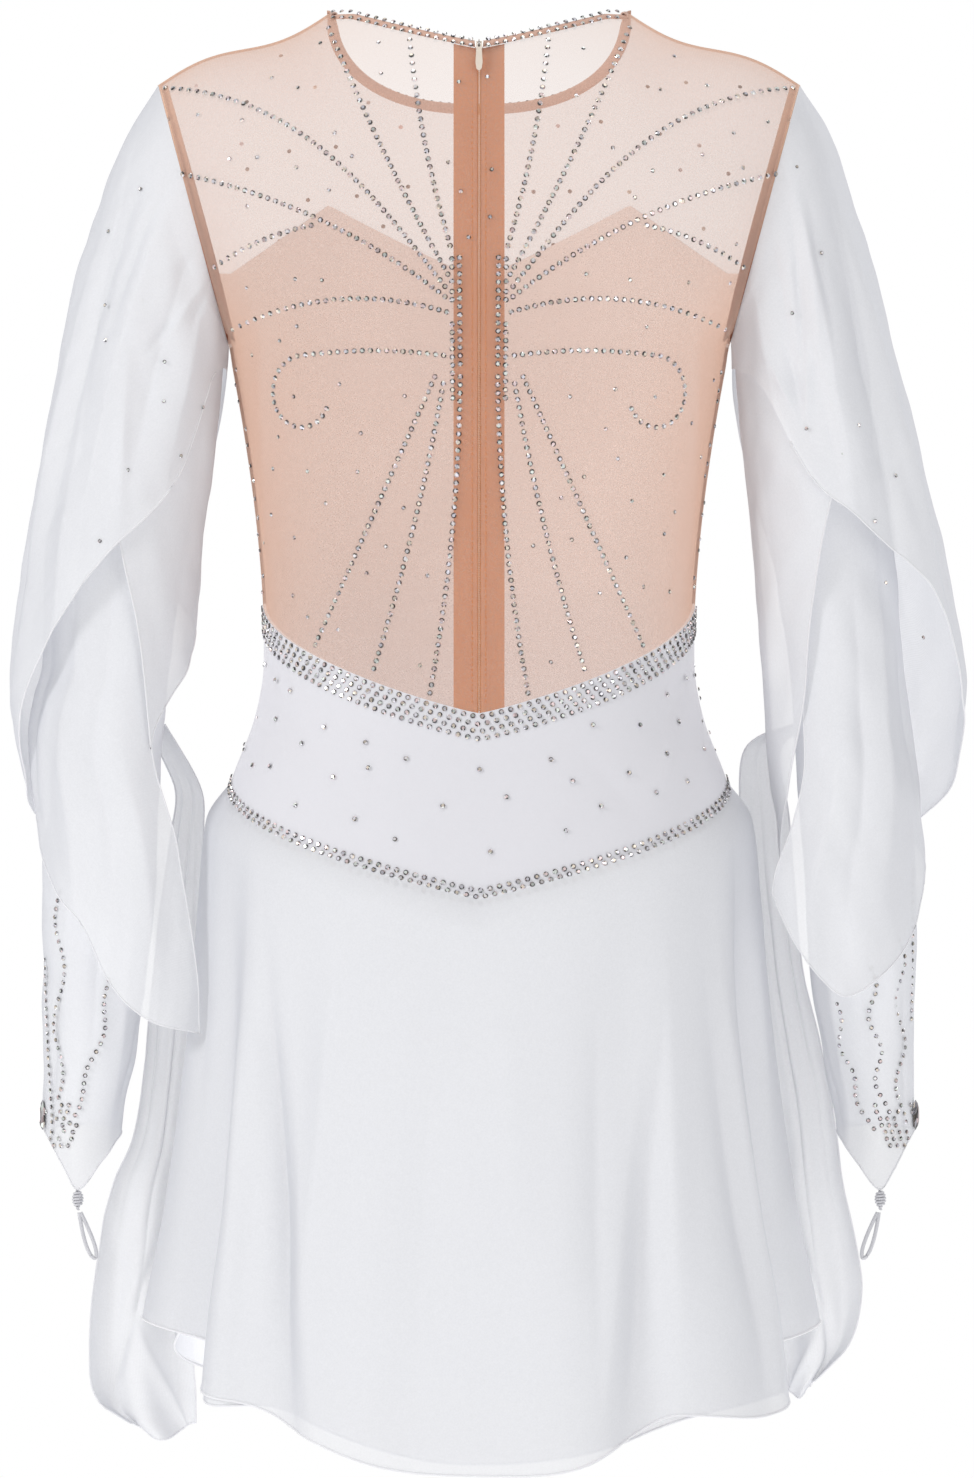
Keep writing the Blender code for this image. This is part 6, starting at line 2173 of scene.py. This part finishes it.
LEFT_CREASES = rows_of(Crease, (
    (108, -158, 0.50, 5, 13, 1.9), (121, -150, 0.25, 4, 15, -1.7), (97, -170, 0.60, 4, 11, -1.5),
    (66, -120, 0.10, 5, 45, -2.2), (84, -235, -0.12, 5, 40, 2.4), (70, -200, 0.06, 10, 90, 4.0),
    (48, -170, 0.05, 9, 80, -4.0), (98, -180, 0.08, 10, 60, -3.0), (28, -250, 0.02, 10, 110, 3.5),
    (120, -190, 0.05, 10, 50, 3.0), (10, -330, 0.0, 10, 90, -3.5), (55, -300, -0.04, 8, 60, 3.0),
    (-30, -240, 0.03, 12, 120, 4.0), (-65, -200, -0.03, 11, 110, -4.0), (-100, -220, 0.03, 11, 90, 3.5),
    (-140, -190, 0.0, 12, 50, -3.0),
))
RIGHT_CREASES = rows_of(Crease, (
    (88, -154, -0.20, 3.5, 38, -3.0), (79, -158, -0.16, 4.5, 40, 2.4), (68, -138, -0.10, 4.0, 34, -2.4),
    (86, -205, 0.00, 11, 40, -3.6), (112, -200, 0.35, 5, 15, 2.4), (103, -196, 0.10, 4, 17, -2.2),
    (95, -201, -0.20, 4, 18, 2.2), (75, -180, -0.05, 10, 90, 4.0), (52, -210, -0.06, 9, 90, -4.5),
    (100, -170, -0.06, 10, 50, -3.0), (30, -240, 0.03, 9, 80, 3.5), (15, -300, 0.03, 9, 80, -4.0),
    (120, -180, 0.0, 10, 40, 2.5), (-25, -300, 0.02, 12, 120, 4.0), (-60, -240, -0.03, 11, 110, -4.0),
    (-95, -260, 0.03, 11, 110, 3.5), (-140, -200, 0.0, 12, 60, -3.0),
))
PETAL_CREASES_LEFT = rows_of(Crease, (
    (80, -440, 0.04, 10, 90, -3.5), (55, -430, 0.05, 9, 80, 3.5), (100, -500, 0.03, 8, 60, 3.0),
    (20, -400, 0.02, 10, 60, -2.5),
))
PETAL_CREASES_RIGHT = rows_of(Crease, (
    (75, -430, -0.04, 10, 90, -3.5), (50, -400, -0.05, 9, 80, 3.5), (98, -480, -0.03, 8, 60, 3.0),
    (20, -400, 0.02, 10, 60, -2.5),
))


def main() -> None:
    """Build the studio and every group of pieces in order."""
    logging.basicConfig(level=logging.INFO, format="%(message)s")
    studio = Studio()
    studio.build()
    finishes = Finishes(Workshop())
    form = BodyForm()
    bodice = Bodice(form, finishes)
    bodice.build()
    LOG.info("bodice built")
    skirt = Skirt(form, finishes)
    skirt.build()
    LOG.info("basque and skirt built")
    left = Sleeve(Hand.LEFT, finishes, OVER_LEFT, OVER_HEM_LEFT, PETAL_LEFT, PETAL_HEM_LEFT,
                  FLAP_EDGE_LEFT, 225.0, -415.0, WING_LEFT, LEFT_CREASES, PETAL_CREASES_LEFT, (152.0, 200.0))
    right = Sleeve(Hand.RIGHT, finishes, OVER_RIGHT, OVER_HEM_RIGHT, PETAL_RIGHT, PETAL_HEM_RIGHT,
                   FLAP_EDGE_RIGHT, 200.0, -488.0, WING_RIGHT, RIGHT_CREASES, PETAL_CREASES_RIGHT,
                   (113.0, 205.0))
    for sleeve in (left, right):
        sleeve.build()
        LOG.info("sleeve %s built", sleeve.hand.word)
    StoneWork(form, finishes).build()
    left_lines = ((257, -540, 253, -632, 0), (248, -500, 250, -636, 3), (219, -552, 247, -646, 2))
    right_lines = ((257, -486, 256, -575, 0), (249, -528, 250, -636, 3), (232, -545, 240, -630, 3),
                   (212, -566, 232, -640, 2))
    CuffStones(left, finishes, left_lines).build()
    CuffStones(right, finishes, right_lines).build()
    LOG.info("stones set")
    ZipFastener(form, finishes).build()
    LOG.info("zip built")


if __name__ == "__main__":
    main()
